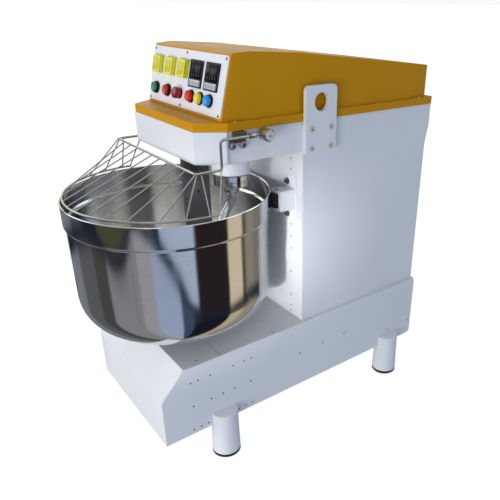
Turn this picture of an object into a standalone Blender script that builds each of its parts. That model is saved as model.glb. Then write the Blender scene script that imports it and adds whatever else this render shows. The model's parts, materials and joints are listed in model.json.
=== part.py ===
"""Spiral dough mixer with a fixed bowl: a floor machine with two drives.

Units are metres, +Z up.  The front of the machine faces -Y and the machine's right side is +X.
The origin is on the floor, in the middle of the machine's length and width.
"""
import math

import bmesh
import bpy
from mathutils import Matrix, Vector

# ---------------------------------------------------------------- clearances and resolution
GAP = 0.0003            # between pieces that touch
RUN = 0.0004            # radial clearance of shafts in their bores
ROUND = 28              # sides of a medium turned part
BIG_ROUND = 48          # sides of the bowl
HOLE_SIDES = 14         # sides of a small hole or stem

# ---------------------------------------------------------------- bowl
BOWL_Y = -0.2885        # bowl axis; x = 0
BOWL_R = 0.300          # outside of the rim band
BOWL_WALL_R = 0.294     # outside of the wall under the band
BOWL_RIM_Z = 0.815
BOWL_BAND_Z = 0.751     # lower edge of the rim band
BOWL_FLOOR_Z = 0.418    # underside of the bowl
BOWL_CORNER_R = 0.109
BOWL_WALL = 0.004

# ---------------------------------------------------------------- base
BASE_HALF_W = 0.244
BASE_FRONT = BOWL_Y - 0.195
BASE_SLOPE_Y = BOWL_Y - 0.118
BASE_REAR = 0.577
BASE_Z0 = 0.119
BASE_SLOPE_Z = 0.278
DECK_Z = 0.362
BASE_T = 0.005
BASE_REAR_R = 0.014     # rounded rear corners of the side plates

FOOT_X = 0.244
FOOT_YS = (BOWL_Y + 0.005, BOWL_Y + 0.731)
FOOT_TOP_Z = 0.161
FOOT_R_TOP = 0.0425
FOOT_R_BOTTOM = 0.0450
PAD_H = 0.012

# ---------------------------------------------------------------- column and head
BODY_HALF_W = 0.229
BODY_T = 0.004
COL_FRONT = 0.0355
COL_REAR = 0.5725
HEAD_Z = 0.931          # underside of the head
HEAD_TOP = 1.0165
HEAD_FRONT = -0.2855
HEAD_FRONT_HALF = 0.181
HEAD_CORNER_Y = -0.2135
FLARE_Z0, FLARE_Z1, FLARE_Y = 0.880, 0.945, 0.012
LOUVRE_Z, LOUVRE_PITCH, LOUVRE_ROWS = 0.47, 0.020, 8

# ---------------------------------------------------------------- cover
FLANGE_Z0 = HEAD_TOP + GAP
FLANGE_Z1 = 1.0395
FLANGE_HALF_W = 0.233
FLANGE_FRONT = -0.2870
FLANGE_FRONT_HALF = 0.181
FLANGE_CORNER_Y = -0.2140
FLANGE_REAR = 0.5885
COVER_T = 0.003
COVER_HALF_W = 0.2235
COVER_FRONT_HALF = 0.2170
COVER_BEND_Y = BOWL_Y + 0.156
COVER_TAPER_Y = BOWL_Y + 0.739
COVER_REAR = BOWL_Y + 0.8515
COVER_REAR_HALF = 0.2150

# ---------------------------------------------------------------- control panel, on a leaning face
PANEL_TILT = math.radians(13.9)
PANEL_Y = BOWL_Y + 0.0668
PANEL_Z = 1.0460
PANEL_HALF_W = 0.2135
PANEL_H = 0.1565
PANEL_T = 0.003
BUTTON_V = 0.0378
BUTTON_US = (-0.168, -0.092, -0.019, 0.049, 0.100, 0.150)
BUTTON_NAMES = ("green", "red_guarded", "stop", "red", "yellow", "blue")
BUTTON_TRAVEL = 0.004
FLIP_US = (-0.167, -0.087, -0.009)
FLIP_V = 0.1045
FLIP_W, FLIP_H, FLIP_D, FLIP_T = 0.045, 0.048, 0.013, 0.0016
TIMER_US = (0.0600, 0.1460)
TIMER_V = 0.0980
TIMER_SIZE = 0.072
TIMER_BEZEL = 0.0062

# ---------------------------------------------------------------- spiral drive
SPIRAL_X = 0.124
SPIRAL_Y = BOWL_Y + 0.1425
HOUSING_R = 0.055
HOUSING_Z0 = 0.8775
SHAFT_R = 0.025
COLLAR_R = 0.0505
COLLAR_Z0, COLLAR_Z1 = 0.8405, 0.8745
HOOK_HUB_R = 0.0225
HOOK_ROD_R = 0.0135
HOOK_RADIUS = 0.078     # of the rod's centre line
HOOK_Z_TOP = 0.800
HOOK_Z_BOTTOM = 0.4435
HOOK_TURNS = 1.5

POST_X0, POST_X1 = -0.0075, 0.015
POST_Y0, POST_Y1 = BOWL_Y + 0.049, BOWL_Y + 0.131
POST_Z0 = 0.432

PULLEY_Z0, PULLEY_Z1 = 0.957, 0.993
SPINDLE_PULLEY_R = 0.088
MOTOR_PULLEY_R = 0.040
SPIRAL_MOTOR = (0.0, 0.300)
BELT_T = 0.006

# ---------------------------------------------------------------- bowl drive
BOWL_PULLEY_R = 0.150
BOWL_MOTOR = (0.0, 0.190)
BOWL_PULLEY_Z0, BOWL_PULLEY_Z1 = 0.222, 0.258
BOWL_MOTOR_PULLEY_R = 0.0375

# ---------------------------------------------------------------- guard
WIRE_R = 0.0019
FRAME_R = 0.0036
ARM_X = 0.2513
BAR_Y = BOWL_Y - 0.036
BAR_Z = 0.9274
ELBOW_Y = BOWL_Y + 0.041
ARM_Z = 1.0035
PIVOT_Y = BOWL_Y + 0.1755
RING_R = 0.290
RING_Z = 0.8246
RING_END = math.radians(1.1)
GUARD_RODS = 11
HUB_R = 0.018
HUB_X0, HUB_X1 = 0.2445, 0.2755
PIVOT_R = 0.006

# ---------------------------------------------------------------- bowl rollers
ROLLER_R = 0.018
ROLLER_ANGLE = math.radians(58.15)
ROLLER_DIST = BOWL_R + 0.0006 + ROLLER_R
ROLLER_Z0, ROLLER_Z1 = 0.756, 0.801
BLOCK_X0, BLOCK_X1 = 0.152, 0.197
BLOCK_Y0 = BOWL_Y + 0.2635
BLOCK_Z0, BLOCK_Z1 = 0.747, 0.810

# ---------------------------------------------------------------- lifting lugs
LUG_Y0, LUG_Y1 = BOWL_Y + 0.320, BOWL_Y + 0.432
LUG_Z0, LUG_Z1 = 0.925, 1.114
LUG_X0, LUG_X1 = 0.2340, 0.2475
LUG_HOLE = (BOWL_Y + 0.376, 1.068)
LUG_HOLE_R = 0.0262
SPACER_Z1 = 1.006


# ================================================================ scene helpers
def start_scene():
    """Empty the scene and make one collection for the parts and one for the cutters."""
    for obj in list(bpy.data.objects):
        bpy.data.objects.remove(obj, do_unlink=True)
    made = {}
    for name in ("spiral_dough_mixer", "cutters"):
        made[name] = bpy.data.collections.new(name)
        bpy.context.scene.collection.children.link(made[name])
    return made["spiral_dough_mixer"], made["cutters"]


PARTS, CUTTERS = start_scene()


def srgb(r, g, b):
    """A display colour, 0 to 255, as linear values."""
    def channel(c):
        c /= 255.0
        return c / 12.92 if c <= 0.04045 else ((c + 0.055) / 1.055) ** 2.4
    return (channel(r), channel(g), channel(b), 1.0)


def material(name, colour, roughness, metallic=0.0, alpha=1.0):
    mat = bpy.data.materials.new(name)
    mat.use_nodes = True
    shader = mat.node_tree.nodes["Principled BSDF"]
    shader.inputs["Base Color"].default_value = colour
    shader.inputs["Roughness"].default_value = roughness
    shader.inputs["Metallic"].default_value = metallic
    shader.inputs["Alpha"].default_value = alpha
    return mat


WHITE = material("white_paint", srgb(226, 231, 236), 0.35)
GREY = material("grey_steel", srgb(120, 124, 128), 0.45, 1.0)
OCHRE = material("ochre_paint", srgb(196, 140, 28), 0.35)
STEEL = material("polished_steel", srgb(200, 200, 200), 0.12, 1.0)
DARK = material("dark_steel", srgb(60, 62, 66), 0.35, 1.0)
PLATE = material("panel_white", srgb(232, 232, 240), 0.4)
RUBBER = material("black_rubber", srgb(24, 24, 25), 0.8)
BLACK = material("black_plastic", srgb(18, 18, 20), 0.35)
CLEAR_YELLOW = material("yellow_clear_plastic", srgb(226, 220, 40), 0.25, 0.0, 0.7)
MOTOR_BLUE = material("motor_paint", srgb(70, 90, 110), 0.5)
BUTTON_MATS = tuple(
    material("button_" + name, colour, 0.3) for name, colour in zip(
        BUTTON_NAMES,
        (srgb(60, 130, 80), srgb(190, 30, 40), srgb(150, 25, 35),
         srgb(220, 35, 30), srgb(225, 215, 40), srgb(30, 140, 225))))


def place(name, mesh, mat, origin=(0, 0, 0), cutter=False):
    """Make an object of a mesh whose coordinates are relative to origin."""
    obj = bpy.data.objects.new(name, mesh)
    obj.location = origin
    if cutter:
        obj.hide_render = True
        obj.display_type = "WIRE"
        CUTTERS.objects.link(obj)
    else:
        mesh.materials.append(mat)
        PARTS.objects.link(obj)
    return obj


def finish_mesh(name, bm, angle=40.0):
    """Turn a bmesh into a mesh that is smooth except at its sharp edges."""
    bmesh.ops.recalc_face_normals(bm, faces=bm.faces)
    mesh = bpy.data.meshes.new(name)
    bm.to_mesh(mesh)
    bm.free()
    mesh.shade_smooth()
    mesh.set_sharp_from_angle(angle=math.radians(angle))
    return mesh


def box(name, low, high, mat=None, origin=(0, 0, 0), bevel=0.0, cutter=False):
    """An axis-aligned box between two corners, with its edges rounded if bevel is given."""
    low, high, base = Vector(low), Vector(high), Vector(origin)
    bm = bmesh.new()
    bmesh.ops.create_cube(bm, size=1.0)
    bmesh.ops.scale(bm, vec=high - low, verts=bm.verts)
    bmesh.ops.translate(bm, vec=(low + high) / 2 - base, verts=bm.verts)
    obj = place(name, finish_mesh(name, bm), mat, origin, cutter)
    if bevel:
        add_bevel(obj, bevel, 2)
    return obj


def add_bevel(obj, width, segments=2, angle=40.0):
    mod = obj.modifiers.new("Bevel", "BEVEL")
    mod.width = width
    mod.segments = segments
    mod.limit_method = "ANGLE"
    mod.angle_limit = math.radians(angle)
    return mod


def cylinder(name, start, end, radius, mat=None, sides=24, origin=(0, 0, 0), radius_end=None,
             cutter=False):
    """A capped cylinder or cone between two points."""
    start, end = Vector(start), Vector(end)
    along = end - start
    turn = along.to_track_quat("Z", "X").to_matrix().to_4x4()
    bm = bmesh.new()
    bmesh.ops.create_cone(bm, cap_ends=True, segments=sides, radius1=radius,
                          radius2=radius if radius_end is None else radius_end,
                          depth=along.length,
                          matrix=Matrix.Translation((start + end) / 2 - Vector(origin)) @ turn)
    return place(name, finish_mesh(name, bm), mat, origin, cutter)


def turned(name, profile, mat=None, sides=ROUND, origin=(0, 0, 0), cutter=False):
    """A closed or axis-to-axis profile of (radius, height), turned about Z by a Screw."""
    bm = bmesh.new()
    verts = [bm.verts.new((r, 0.0, z)) for r, z in profile]
    closed = profile[0][0] > 1e-6
    pairs = list(zip(verts, verts[1:])) + ([(verts[-1], verts[0])] if closed else [])
    for a, b in pairs:
        bm.edges.new((a, b))
    mesh = bpy.data.meshes.new(name)
    bm.to_mesh(mesh)
    bm.free()
    obj = place(name, mesh, mat, origin, cutter)
    screw = obj.modifiers.new("Screw", "SCREW")
    screw.axis = "Z"
    screw.angle = math.tau
    screw.steps = screw.render_steps = sides
    screw.use_merge_vertices = True
    screw.merge_threshold = 0.00001
    screw.use_smooth_shade = True
    return obj


def curve_to_mesh(curve, matrix):
    """The welded mesh of a curve object, moved by a matrix."""
    obj = bpy.data.objects.new("guide", curve)
    bpy.context.scene.collection.objects.link(obj)
    bpy.context.view_layer.update()
    found = obj.evaluated_get(bpy.context.evaluated_depsgraph_get())
    mesh = bpy.data.meshes.new_from_object(found)
    bpy.data.objects.remove(obj, do_unlink=True)
    bm = bmesh.new()
    bm.from_mesh(mesh)
    bpy.data.meshes.remove(mesh)
    bmesh.ops.remove_doubles(bm, verts=bm.verts, dist=0.00001)
    bmesh.ops.transform(bm, matrix=matrix, verts=bm.verts)
    return bm


def plate(name, loops, thickness, frame, mat=None, origin=(0, 0, 0), cutter=False):
    """A flat plate: the first loop is its outline and the others are its holes.

    The loops are in the frame's XY plane, and the plate is centred on it.
    """
    curve = bpy.data.curves.new(name, "CURVE")
    curve.dimensions = "2D"
    curve.fill_mode = "BOTH"
    curve.extrude = thickness / 2
    for loop in loops:
        spline = curve.splines.new("POLY")
        spline.points.add(len(loop) - 1)
        for point, (u, v) in zip(spline.points, loop):
            point.co = (u, v, 0.0, 1.0)
        spline.use_cyclic_u = True
    bm = curve_to_mesh(curve, Matrix.Translation(-Vector(origin)) @ frame)
    return place(name, finish_mesh(name, bm), mat, origin, cutter)


def wire(name, points, radius, mat=None, resolution=2, cyclic=False, origin=(0, 0, 0),
         cutter=False):
    """A round bar along a list of points."""
    curve = bpy.data.curves.new(name, "CURVE")
    curve.dimensions = "3D"
    curve.bevel_depth = radius
    curve.bevel_resolution = resolution
    curve.use_fill_caps = True
    spline = curve.splines.new("POLY")
    spline.points.add(len(points) - 1)
    for point, co in zip(spline.points, points):
        point.co = (*co, 1.0)
    spline.use_cyclic_u = cyclic
    bm = curve_to_mesh(curve, Matrix.Translation(-Vector(origin)))
    return place(name, finish_mesh(name, bm, 50.0), mat, origin, cutter)


def folded_sheet(name, profile, x0, x1, thickness, mat, side=-1.0):
    """A sheet folded along X: its profile is a list of (y, z), and side says which way it thickens."""
    bm = bmesh.new()
    verts = [bm.verts.new((x0, y, z)) for y, z in profile]
    edges = [bm.edges.new(pair) for pair in zip(verts, verts[1:])]
    swept = bmesh.ops.extrude_edge_only(bm, edges=edges)["geom"]
    moved = [g for g in swept if isinstance(g, bmesh.types.BMVert)]
    bmesh.ops.translate(bm, vec=(x1 - x0, 0, 0), verts=moved)
    mesh = bpy.data.meshes.new(name)
    bm.to_mesh(mesh)
    bm.free()
    obj = place(name, mesh, mat)
    solid = obj.modifiers.new("Solidify", "SOLIDIFY")
    solid.thickness = thickness
    solid.offset = side
    solid.use_even_offset = True
    return obj


def combine(target, other, operation="DIFFERENCE"):
    """Cut or join a piece from the cutters' collection."""
    mod = target.modifiers.new(operation.title() + " " + other.name, "BOOLEAN")
    mod.operation = operation
    mod.object = other
    mod.solver = "EXACT"
    return target


def join(target, *pieces):
    for piece in pieces:
        combine(target, piece, "UNION")
    return target


def circle(u, v, radius, sides=24):
    """A round loop of points, for an outline or a hole."""
    return [(u + radius * math.cos(math.tau * i / sides),
             v + radius * math.sin(math.tau * i / sides)) for i in range(sides)]


def rectangle(u0, v0, u1, v1):
    return [(u0, v0), (u1, v0), (u1, v1), (u0, v1)]


def filleted(points, radii, steps=4):
    """A closed outline whose corners are rounded by the given radii."""
    out = []
    count = len(points)
    for i, (corner, radius) in enumerate(zip(points, radii)):
        here = Vector(corner)
        to_last = (Vector(points[i - 1]) - here).normalized()
        to_next = (Vector(points[(i + 1) % count]) - here).normalized()
        if radius <= 0.0:
            out.append(tuple(here))
            continue
        half = to_last.angle(to_next) / 2
        centre = here + (to_last + to_next).normalized() * (radius / math.sin(half))
        first = here + to_last * (radius / math.tan(half)) - centre
        last = here + to_next * (radius / math.tan(half)) - centre
        for k in range(steps + 1):
            ray = first.slerp(last, k / steps)
            out.append(tuple(centre + ray.normalized() * radius))
    return out


def bent(points, radius, steps=4):
    """An open path of 3-D points whose inner corners are bent to a radius."""
    path = [Vector(points[0])]
    for last, here, after in zip(points, points[1:], points[2:]):
        here = Vector(here)
        back = (Vector(last) - here).normalized()
        ahead = (Vector(after) - here).normalized()
        half = back.angle(ahead) / 2
        centre = here + (back + ahead).normalized() * (radius / math.sin(half))
        first = here + back * (radius / math.tan(half)) - centre
        final = here + ahead * (radius / math.tan(half)) - centre
        path += [centre + first.slerp(final, k / steps).normalized() * radius
                 for k in range(steps + 1)]
    path.append(Vector(points[-1]))
    return path


# Frames for flat plates: (u, v) become (y, z) across X, (x, z) across Y, or (x, y) across Z.
def across_x(x):
    return Matrix(((0, 0, 1, x), (1, 0, 0, 0), (0, 1, 0, 0), (0, 0, 0, 1)))


def across_y(y):
    return Matrix(((1, 0, 0, 0), (0, 0, -1, y), (0, 1, 0, 0), (0, 0, 0, 1)))


def across_z(z):
    return Matrix.Translation((0, 0, z))


def panel_frame():
    """u runs along +X, v up the leaning face, and w straight out of it."""
    up = Vector((0, math.sin(PANEL_TILT), math.cos(PANEL_TILT)))
    out = Vector((0, -math.cos(PANEL_TILT), math.sin(PANEL_TILT)))
    frame = Matrix(((1, up.x, out.x, 0), (0, up.y, out.y, PANEL_Y), (0, up.z, out.z, PANEL_Z),
                    (0, 0, 0, 1)))
    return frame


PANEL = panel_frame()


def on_panel(u, v, w=0.0):
    return PANEL @ Vector((u, v, w))


# ================================================================ base
def make_base():
    side = filleted([(BASE_FRONT, BASE_Z0), (BASE_REAR, BASE_Z0), (BASE_REAR, DECK_Z),
                     (BASE_SLOPE_Y, DECK_Z), (BASE_FRONT, BASE_SLOPE_Z)],
                    [0, BASE_REAR_R, BASE_REAR_R, 0, 0])
    for name, sign in (("base_side_right", 1), ("base_side_left", -1)):
        plate(name, [side], BASE_T, across_x(sign * (BASE_HALF_W - BASE_T / 2)), WHITE)

    inside = BASE_HALF_W - BASE_T - GAP
    skin = folded_sheet("base_deck", [(BASE_FRONT, BASE_Z0), (BASE_FRONT, BASE_SLOPE_Z),
                                      (BASE_SLOPE_Y, DECK_Z), (BASE_REAR, DECK_Z)],
                        -inside, inside, BASE_T, WHITE, side=-1.0)
    holes = ((0.0, BOWL_Y, 0.0553), (*BOWL_MOTOR, 0.030))
    for i, (x, y, radius) in enumerate(holes):
        combine(skin, cylinder(f"deck_hole_{i}", (x, y, DECK_Z - 0.02), (x, y, DECK_Z + 0.02),
                               radius, sides=32, cutter=True))

    # floor and rear wall in one sheet, inside the skin
    folded_sheet("base_pan", [(BASE_FRONT + BASE_T + GAP, BASE_Z0), (BASE_REAR, BASE_Z0),
                              (BASE_REAR, DECK_Z - BASE_T - GAP)],
                 -inside, inside, BASE_T, WHITE, side=1.0)


def make_feet():
    """Tapered feet on the base's lower edges: the inner half stops under the base."""
    notch = box("foot_notch", (-BASE_HALF_W - GAP, BASE_FRONT - 0.02, BASE_Z0 - GAP),
                (BASE_HALF_W + GAP, BASE_REAR + 0.02, 0.40), cutter=True)
    for row, y in zip(("front", "rear"), FOOT_YS):
        for side, sign in (("right", 1), ("left", -1)):
            at = (sign * FOOT_X, y, 0.0)
            foot = turned(f"foot_{row}_{side}", [
                (0.0, FOOT_TOP_Z), (FOOT_R_TOP - 0.002, FOOT_TOP_Z),
                (FOOT_R_TOP, FOOT_TOP_Z - 0.002), (FOOT_R_BOTTOM, PAD_H + GAP),
                (0.0, PAD_H + GAP)], WHITE, 32, at)
            combine(foot, notch)
            turned(f"foot_pad_{row}_{side}", [
                (0.0, PAD_H), (FOOT_R_BOTTOM, PAD_H), (FOOT_R_BOTTOM + 0.0005, 0.003),
                (FOOT_R_BOTTOM - 0.0025, 0.0), (0.0, 0.0)], RUBBER, 32, at)


# ================================================================ column and head
def body_side_outline():
    """The L-shaped side: a column with the head reaching forward at its top."""
    rear = COL_REAR + FLARE_Y
    return [(COL_FRONT, DECK_Z + GAP), (COL_REAR, DECK_Z + GAP), (COL_REAR, FLARE_Z0),
            (rear, FLARE_Z1), (rear, HEAD_TOP), (HEAD_CORNER_Y, HEAD_TOP),
            (HEAD_CORNER_Y, HEAD_Z), (COL_FRONT, HEAD_Z)]


def make_body():
    for name, sign in (("body_side_right", 1), ("body_side_left", -1)):
        pivot_hole = circle(PIVOT_Y, ARM_Z, PIVOT_R + RUN, 20)
        plate(name, [body_side_outline(), pivot_hole], BODY_T,
              across_x(sign * (BODY_HALF_W - BODY_T / 2)), WHITE)

    inside = BODY_HALF_W - BODY_T - GAP
    front = rectangle(-inside, DECK_Z + GAP, inside, HEAD_Z - GAP)
    plate("column_front", [front], BODY_T, across_y(COL_FRONT + BODY_T / 2), WHITE)

    # nose of the head: a front face with a chamfer on each side
    half = BODY_HALF_W
    corner = HEAD_CORNER_Y - GAP
    nose = bmesh.new()
    line = [(-half, corner), (-HEAD_FRONT_HALF, HEAD_FRONT), (HEAD_FRONT_HALF, HEAD_FRONT),
            (half, corner)]
    verts = [nose.verts.new((x, y, HEAD_Z)) for x, y in line]
    edges = [nose.edges.new(pair) for pair in zip(verts, verts[1:])]
    swept = bmesh.ops.extrude_edge_only(nose, edges=edges)["geom"]
    bmesh.ops.translate(nose, vec=(0, 0, HEAD_TOP - HEAD_Z),
                        verts=[g for g in swept if isinstance(g, bmesh.types.BMVert)])
    mesh = bpy.data.meshes.new("head_nose")
    nose.to_mesh(mesh)
    nose.free()
    shell = place("head_nose", mesh, WHITE)
    solid = shell.modifiers.new("Solidify", "SOLIDIFY")
    solid.thickness = BODY_T
    solid.offset = -1.0
    solid.use_even_offset = True
    trim = box("nose_trim", (-0.3, corner, HEAD_Z - 0.02), (0.3, corner + 0.05, HEAD_TOP + 0.02),
               cutter=True)
    combine(shell, trim)

    # underside of the head and shelf over the column: it carries both spindles and the motor
    cut = BODY_T + GAP
    lean = math.hypot(half - HEAD_FRONT_HALF, HEAD_CORNER_Y - HEAD_FRONT)
    step = cut * lean / (HEAD_CORNER_Y - HEAD_FRONT)
    slope = (half - HEAD_FRONT_HALF) / (HEAD_CORNER_Y - HEAD_FRONT)
    nose_half = HEAD_FRONT_HALF - step + cut * slope
    bend_y = HEAD_FRONT + cut + (inside - nose_half) / slope
    shelf = [(-inside, bend_y), (-nose_half, HEAD_FRONT + cut), (nose_half, HEAD_FRONT + cut),
             (inside, bend_y), (inside, COL_REAR - BODY_T - GAP),
             (-inside, COL_REAR - BODY_T - GAP)]
    post = rectangle(POST_X0 - GAP, POST_Y0 - GAP, POST_X1 + GAP, POST_Y1 + GAP)
    plate("head_shelf", [shelf, circle(SPIRAL_X, SPIRAL_Y, HOUSING_R - 0.003 + GAP, 32),
                         circle(*SPIRAL_MOTOR, 0.030, 24), post], BODY_T,
          across_z(HEAD_Z + BODY_T / 2), WHITE)

    # rear wall of the column and head in one folded sheet, with two banks of louvre slots
    door = folded_sheet("rear_door", [(COL_REAR, DECK_Z + GAP), (COL_REAR, FLARE_Z0),
                                      (COL_REAR + FLARE_Y, FLARE_Z1),
                                      (COL_REAR + FLARE_Y, HEAD_TOP)],
                        -inside, inside, BODY_T, WHITE, side=1.0)
    rows = [LOUVRE_Z + LOUVRE_PITCH * i for i in range(LOUVRE_ROWS)]
    slots = [rectangle(x - 0.045, z, x + 0.045, z + 0.007) for x in (-0.11, 0.11) for z in rows]
    combine(door, plate("louvre_slots", slots, 0.03, across_y(COL_REAR), cutter=True))


def make_lug(side, sign):
    """A lifting plate with a spacer that holds it clear of the cover's flange."""
    outline = filleted([(LUG_Y0, LUG_Z0), (LUG_Y1, LUG_Z0), (LUG_Y1, LUG_Z1), (LUG_Y0, LUG_Z1)],
                       [0.002, 0.002, 0.016, 0.016])
    lug = plate(f"lifting_lug_{side}", [outline, circle(*LUG_HOLE, LUG_HOLE_R, 28)],
                LUG_X1 - LUG_X0, across_x(sign * (LUG_X0 + LUG_X1) / 2), WHITE)
    xs = sorted((sign * (BODY_HALF_W + GAP), sign * (LUG_X0 + 0.002)))
    spacer = box(f"lug_spacer_{side}", (xs[0], LUG_Y0, LUG_Z0), (xs[1], LUG_Y1, SPACER_Z1),
                 cutter=True)
    join(lug, spacer)


# ================================================================ cover
def cover_body(name, inset, low_z, cutter):
    """The tall part of the cover: a leaning front, bent sides and a top that falls to the rear."""
    lean = math.tan(PANEL_TILT)

    def front_y(z):
        return PANEL_Y + (z - PANEL_Z) * lean + inset / math.cos(PANEL_TILT) + 2 * GAP

    tops = ((0.0, 1.2040), (COVER_BEND_Y, 1.2080), (BOWL_Y + 0.315, 1.1985), (COVER_REAR, 1.1395))
    side = COVER_HALF_W - inset
    corners = []
    for y, half, z in ((None, COVER_FRONT_HALF - inset, tops[0][1] - inset),
                       (COVER_BEND_Y, side, tops[1][1] - inset),
                       (BOWL_Y + 0.315, side, tops[2][1] - inset),
                       (COVER_TAPER_Y, side, None),
                       (COVER_REAR - inset, COVER_REAR_HALF - inset, tops[3][1] - inset)):
        if z is None:
            run = (COVER_TAPER_Y - tops[2][0]) / (COVER_REAR - tops[2][0])
            z = tops[2][1] + run * (tops[3][1] - tops[2][1]) - inset
        for sign in (-1, 1):
            for height in (low_z, z):
                corners.append((sign * half, front_y(height) if y is None else y, height))
    bm = bmesh.new()
    for co in corners:
        bm.verts.new(co)
    bmesh.ops.convex_hull(bm, input=bm.verts)
    bmesh.ops.dissolve_limit(bm, angle_limit=math.radians(0.5), verts=bm.verts, edges=bm.edges)
    return place(name, finish_mesh(name, bm, 25.0), None if cutter else OCHRE, cutter=cutter)


def make_cover():
    corner = [(-FLANGE_FRONT_HALF, FLANGE_FRONT), (FLANGE_FRONT_HALF, FLANGE_FRONT),
              (FLANGE_HALF_W, FLANGE_CORNER_Y), (FLANGE_HALF_W, FLANGE_REAR),
              (-FLANGE_HALF_W, FLANGE_REAR), (-FLANGE_HALF_W, FLANGE_CORNER_Y)]
    flange = filleted(corner, [0.004, 0.004, 0.004, 0.012, 0.012, 0.004], 2)
    cover = plate("top_cover", [flange], FLANGE_Z1 - FLANGE_Z0,
                  across_z((FLANGE_Z0 + FLANGE_Z1) / 2), OCHRE)
    join(cover, cover_body("cover_upper", 0.0, FLANGE_Z1 - 0.004, True))
    combine(cover, cover_body("cover_hollow", COVER_T, FLANGE_Z0 - 0.01, True))

    # the flange is hollow too, ahead of the leaning face
    recess = [(-FLANGE_FRONT_HALF + 0.006, FLANGE_FRONT + 0.012),
              (FLANGE_FRONT_HALF - 0.006, FLANGE_FRONT + 0.012),
              (0.216, FLANGE_CORNER_Y + 0.008), (0.216, 0.0), (-0.216, 0.0),
              (-0.216, FLANGE_CORNER_Y + 0.008)]
    combine(cover, plate("flange_recess", [recess], 0.030,
                         across_z(FLANGE_Z1 - COVER_T - 0.015), cutter=True))
    panel_openings(cover, "cover")
    return cover


# ================================================================ control panel
def panel_cylinder(name, u, v, w0, w1, radius, mat=None, sides=24, cutter=False,
                   origin=(0, 0, 0)):
    return cylinder(name, on_panel(u, v, w0), on_panel(u, v, w1), radius, mat, sides, origin,
                    cutter=cutter)


def panel_box(name, u0, v0, w0, u1, v1, w1, mat=None, cutter=False, origin=(0, 0, 0)):
    """A box that lies along the leaning face."""
    frame = PANEL @ Matrix.Translation((0, 0, (w0 + w1) / 2))
    return plate(name, [rectangle(u0, v0, u1, v1)], w1 - w0, frame, mat, origin, cutter)


STEM_R = 0.0105
HOLE_R = STEM_R + 0.0009
TIMER_BODY = 0.034      # half side of the part behind the panel


def panel_openings(target, label):
    """Round holes for the button stems and square ones for the timers."""
    for i, u in enumerate(BUTTON_US):
        combine(target, panel_cylinder(f"{label}_button_hole_{i}", u, BUTTON_V, -0.02, 0.02,
                                       HOLE_R, cutter=True, sides=HOLE_SIDES))
    for i, u in enumerate(FLIP_US):
        combine(target, panel_cylinder(f"{label}_start_hole_{i}", u, FLIP_V - 0.001, -0.02, 0.02,
                                       HOLE_R, cutter=True, sides=HOLE_SIDES))
    half = TIMER_BODY + GAP
    for i, u in enumerate(TIMER_US):
        combine(target, panel_box(f"{label}_timer_hole_{i}", u - half, TIMER_V - half, -0.02,
                                  u + half, TIMER_V + half, 0.02, cutter=True))


def make_button(name, u, v, radius, proud, mat):
    """A cap on a stem that runs through the panel; it slides straight in."""
    base = on_panel(u, v, PANEL_T)
    low = PANEL_T + BUTTON_TRAVEL + 0.0008
    cap = panel_cylinder(name, u, v, low, PANEL_T + proud, radius, mat, 18, origin=base)
    add_bevel(cap, 0.0012, 1)
    stem = panel_cylinder(name + "_stem", u, v, -0.022, low + 0.001, STEM_R, sides=HOLE_SIDES,
                          cutter=True)
    join(cap, stem)
    return cap


def make_flip_cover(name, u, mat):
    """A clear box hinged along its top edge over a start button."""
    top = FLIP_V + FLIP_H / 2
    axis = on_panel(u, top, PANEL_T + 0.004)
    w0 = PANEL_T + 0.001
    shell = panel_box(name, u - FLIP_W / 2, top - FLIP_H, w0, u + FLIP_W / 2, top, w0 + FLIP_D,
                      mat, origin=axis)
    hollow = panel_box(name + "_hollow", u - FLIP_W / 2 + FLIP_T, top - FLIP_H + FLIP_T, w0 - 0.01,
                       u + FLIP_W / 2 - FLIP_T, top - FLIP_T, w0 + FLIP_D - FLIP_T, cutter=True)
    combine(shell, hollow)
    return shell


def make_timer(name, u):
    """A square timer: a bezel on the panel and its case behind."""
    half = TIMER_SIZE / 2
    timer = panel_box(name, u - half, TIMER_V - half, PANEL_T + GAP, u + half, TIMER_V + half,
                      TIMER_BEZEL, BLACK)
    case = panel_box(name + "_case", u - TIMER_BODY, TIMER_V - TIMER_BODY, -0.045,
                     u + TIMER_BODY, TIMER_V + TIMER_BODY, PANEL_T + 0.001, cutter=True)
    return join(timer, case)


def make_panel():
    outline = filleted([(-PANEL_HALF_W, 0.001), (PANEL_HALF_W, 0.001), (PANEL_HALF_W, PANEL_H),
                        (-PANEL_HALF_W, PANEL_H)], [0.006] * 4, 3)
    holes = [circle(u, BUTTON_V, HOLE_R, HOLE_SIDES) for u in BUTTON_US]
    holes += [circle(u, FLIP_V - 0.001, HOLE_R, HOLE_SIDES) for u in FLIP_US]
    half = TIMER_BODY + GAP
    holes += [rectangle(u - half, TIMER_V - half, u + half, TIMER_V + half) for u in TIMER_US]
    plate("control_plate", [outline] + holes, PANEL_T,
          PANEL @ Matrix.Translation((0, 0, PANEL_T / 2)), PLATE)

    for name, u, mat in zip(BUTTON_NAMES, BUTTON_US, BUTTON_MATS):
        stop = name == "stop"
        make_button("button_" + name, u, BUTTON_V, 0.0160 if stop else 0.0145,
                    0.021 if stop else 0.015, mat)
    for i, u in enumerate(FLIP_US, 1):
        make_button(f"start_button_{i}", u, FLIP_V - 0.001, 0.0135, 0.0115, BLACK)
        make_flip_cover(f"flip_cover_{i}", u, CLEAR_YELLOW)
    for i, u in enumerate(TIMER_US, 1):
        make_timer(f"timer_{i}", u)


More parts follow.
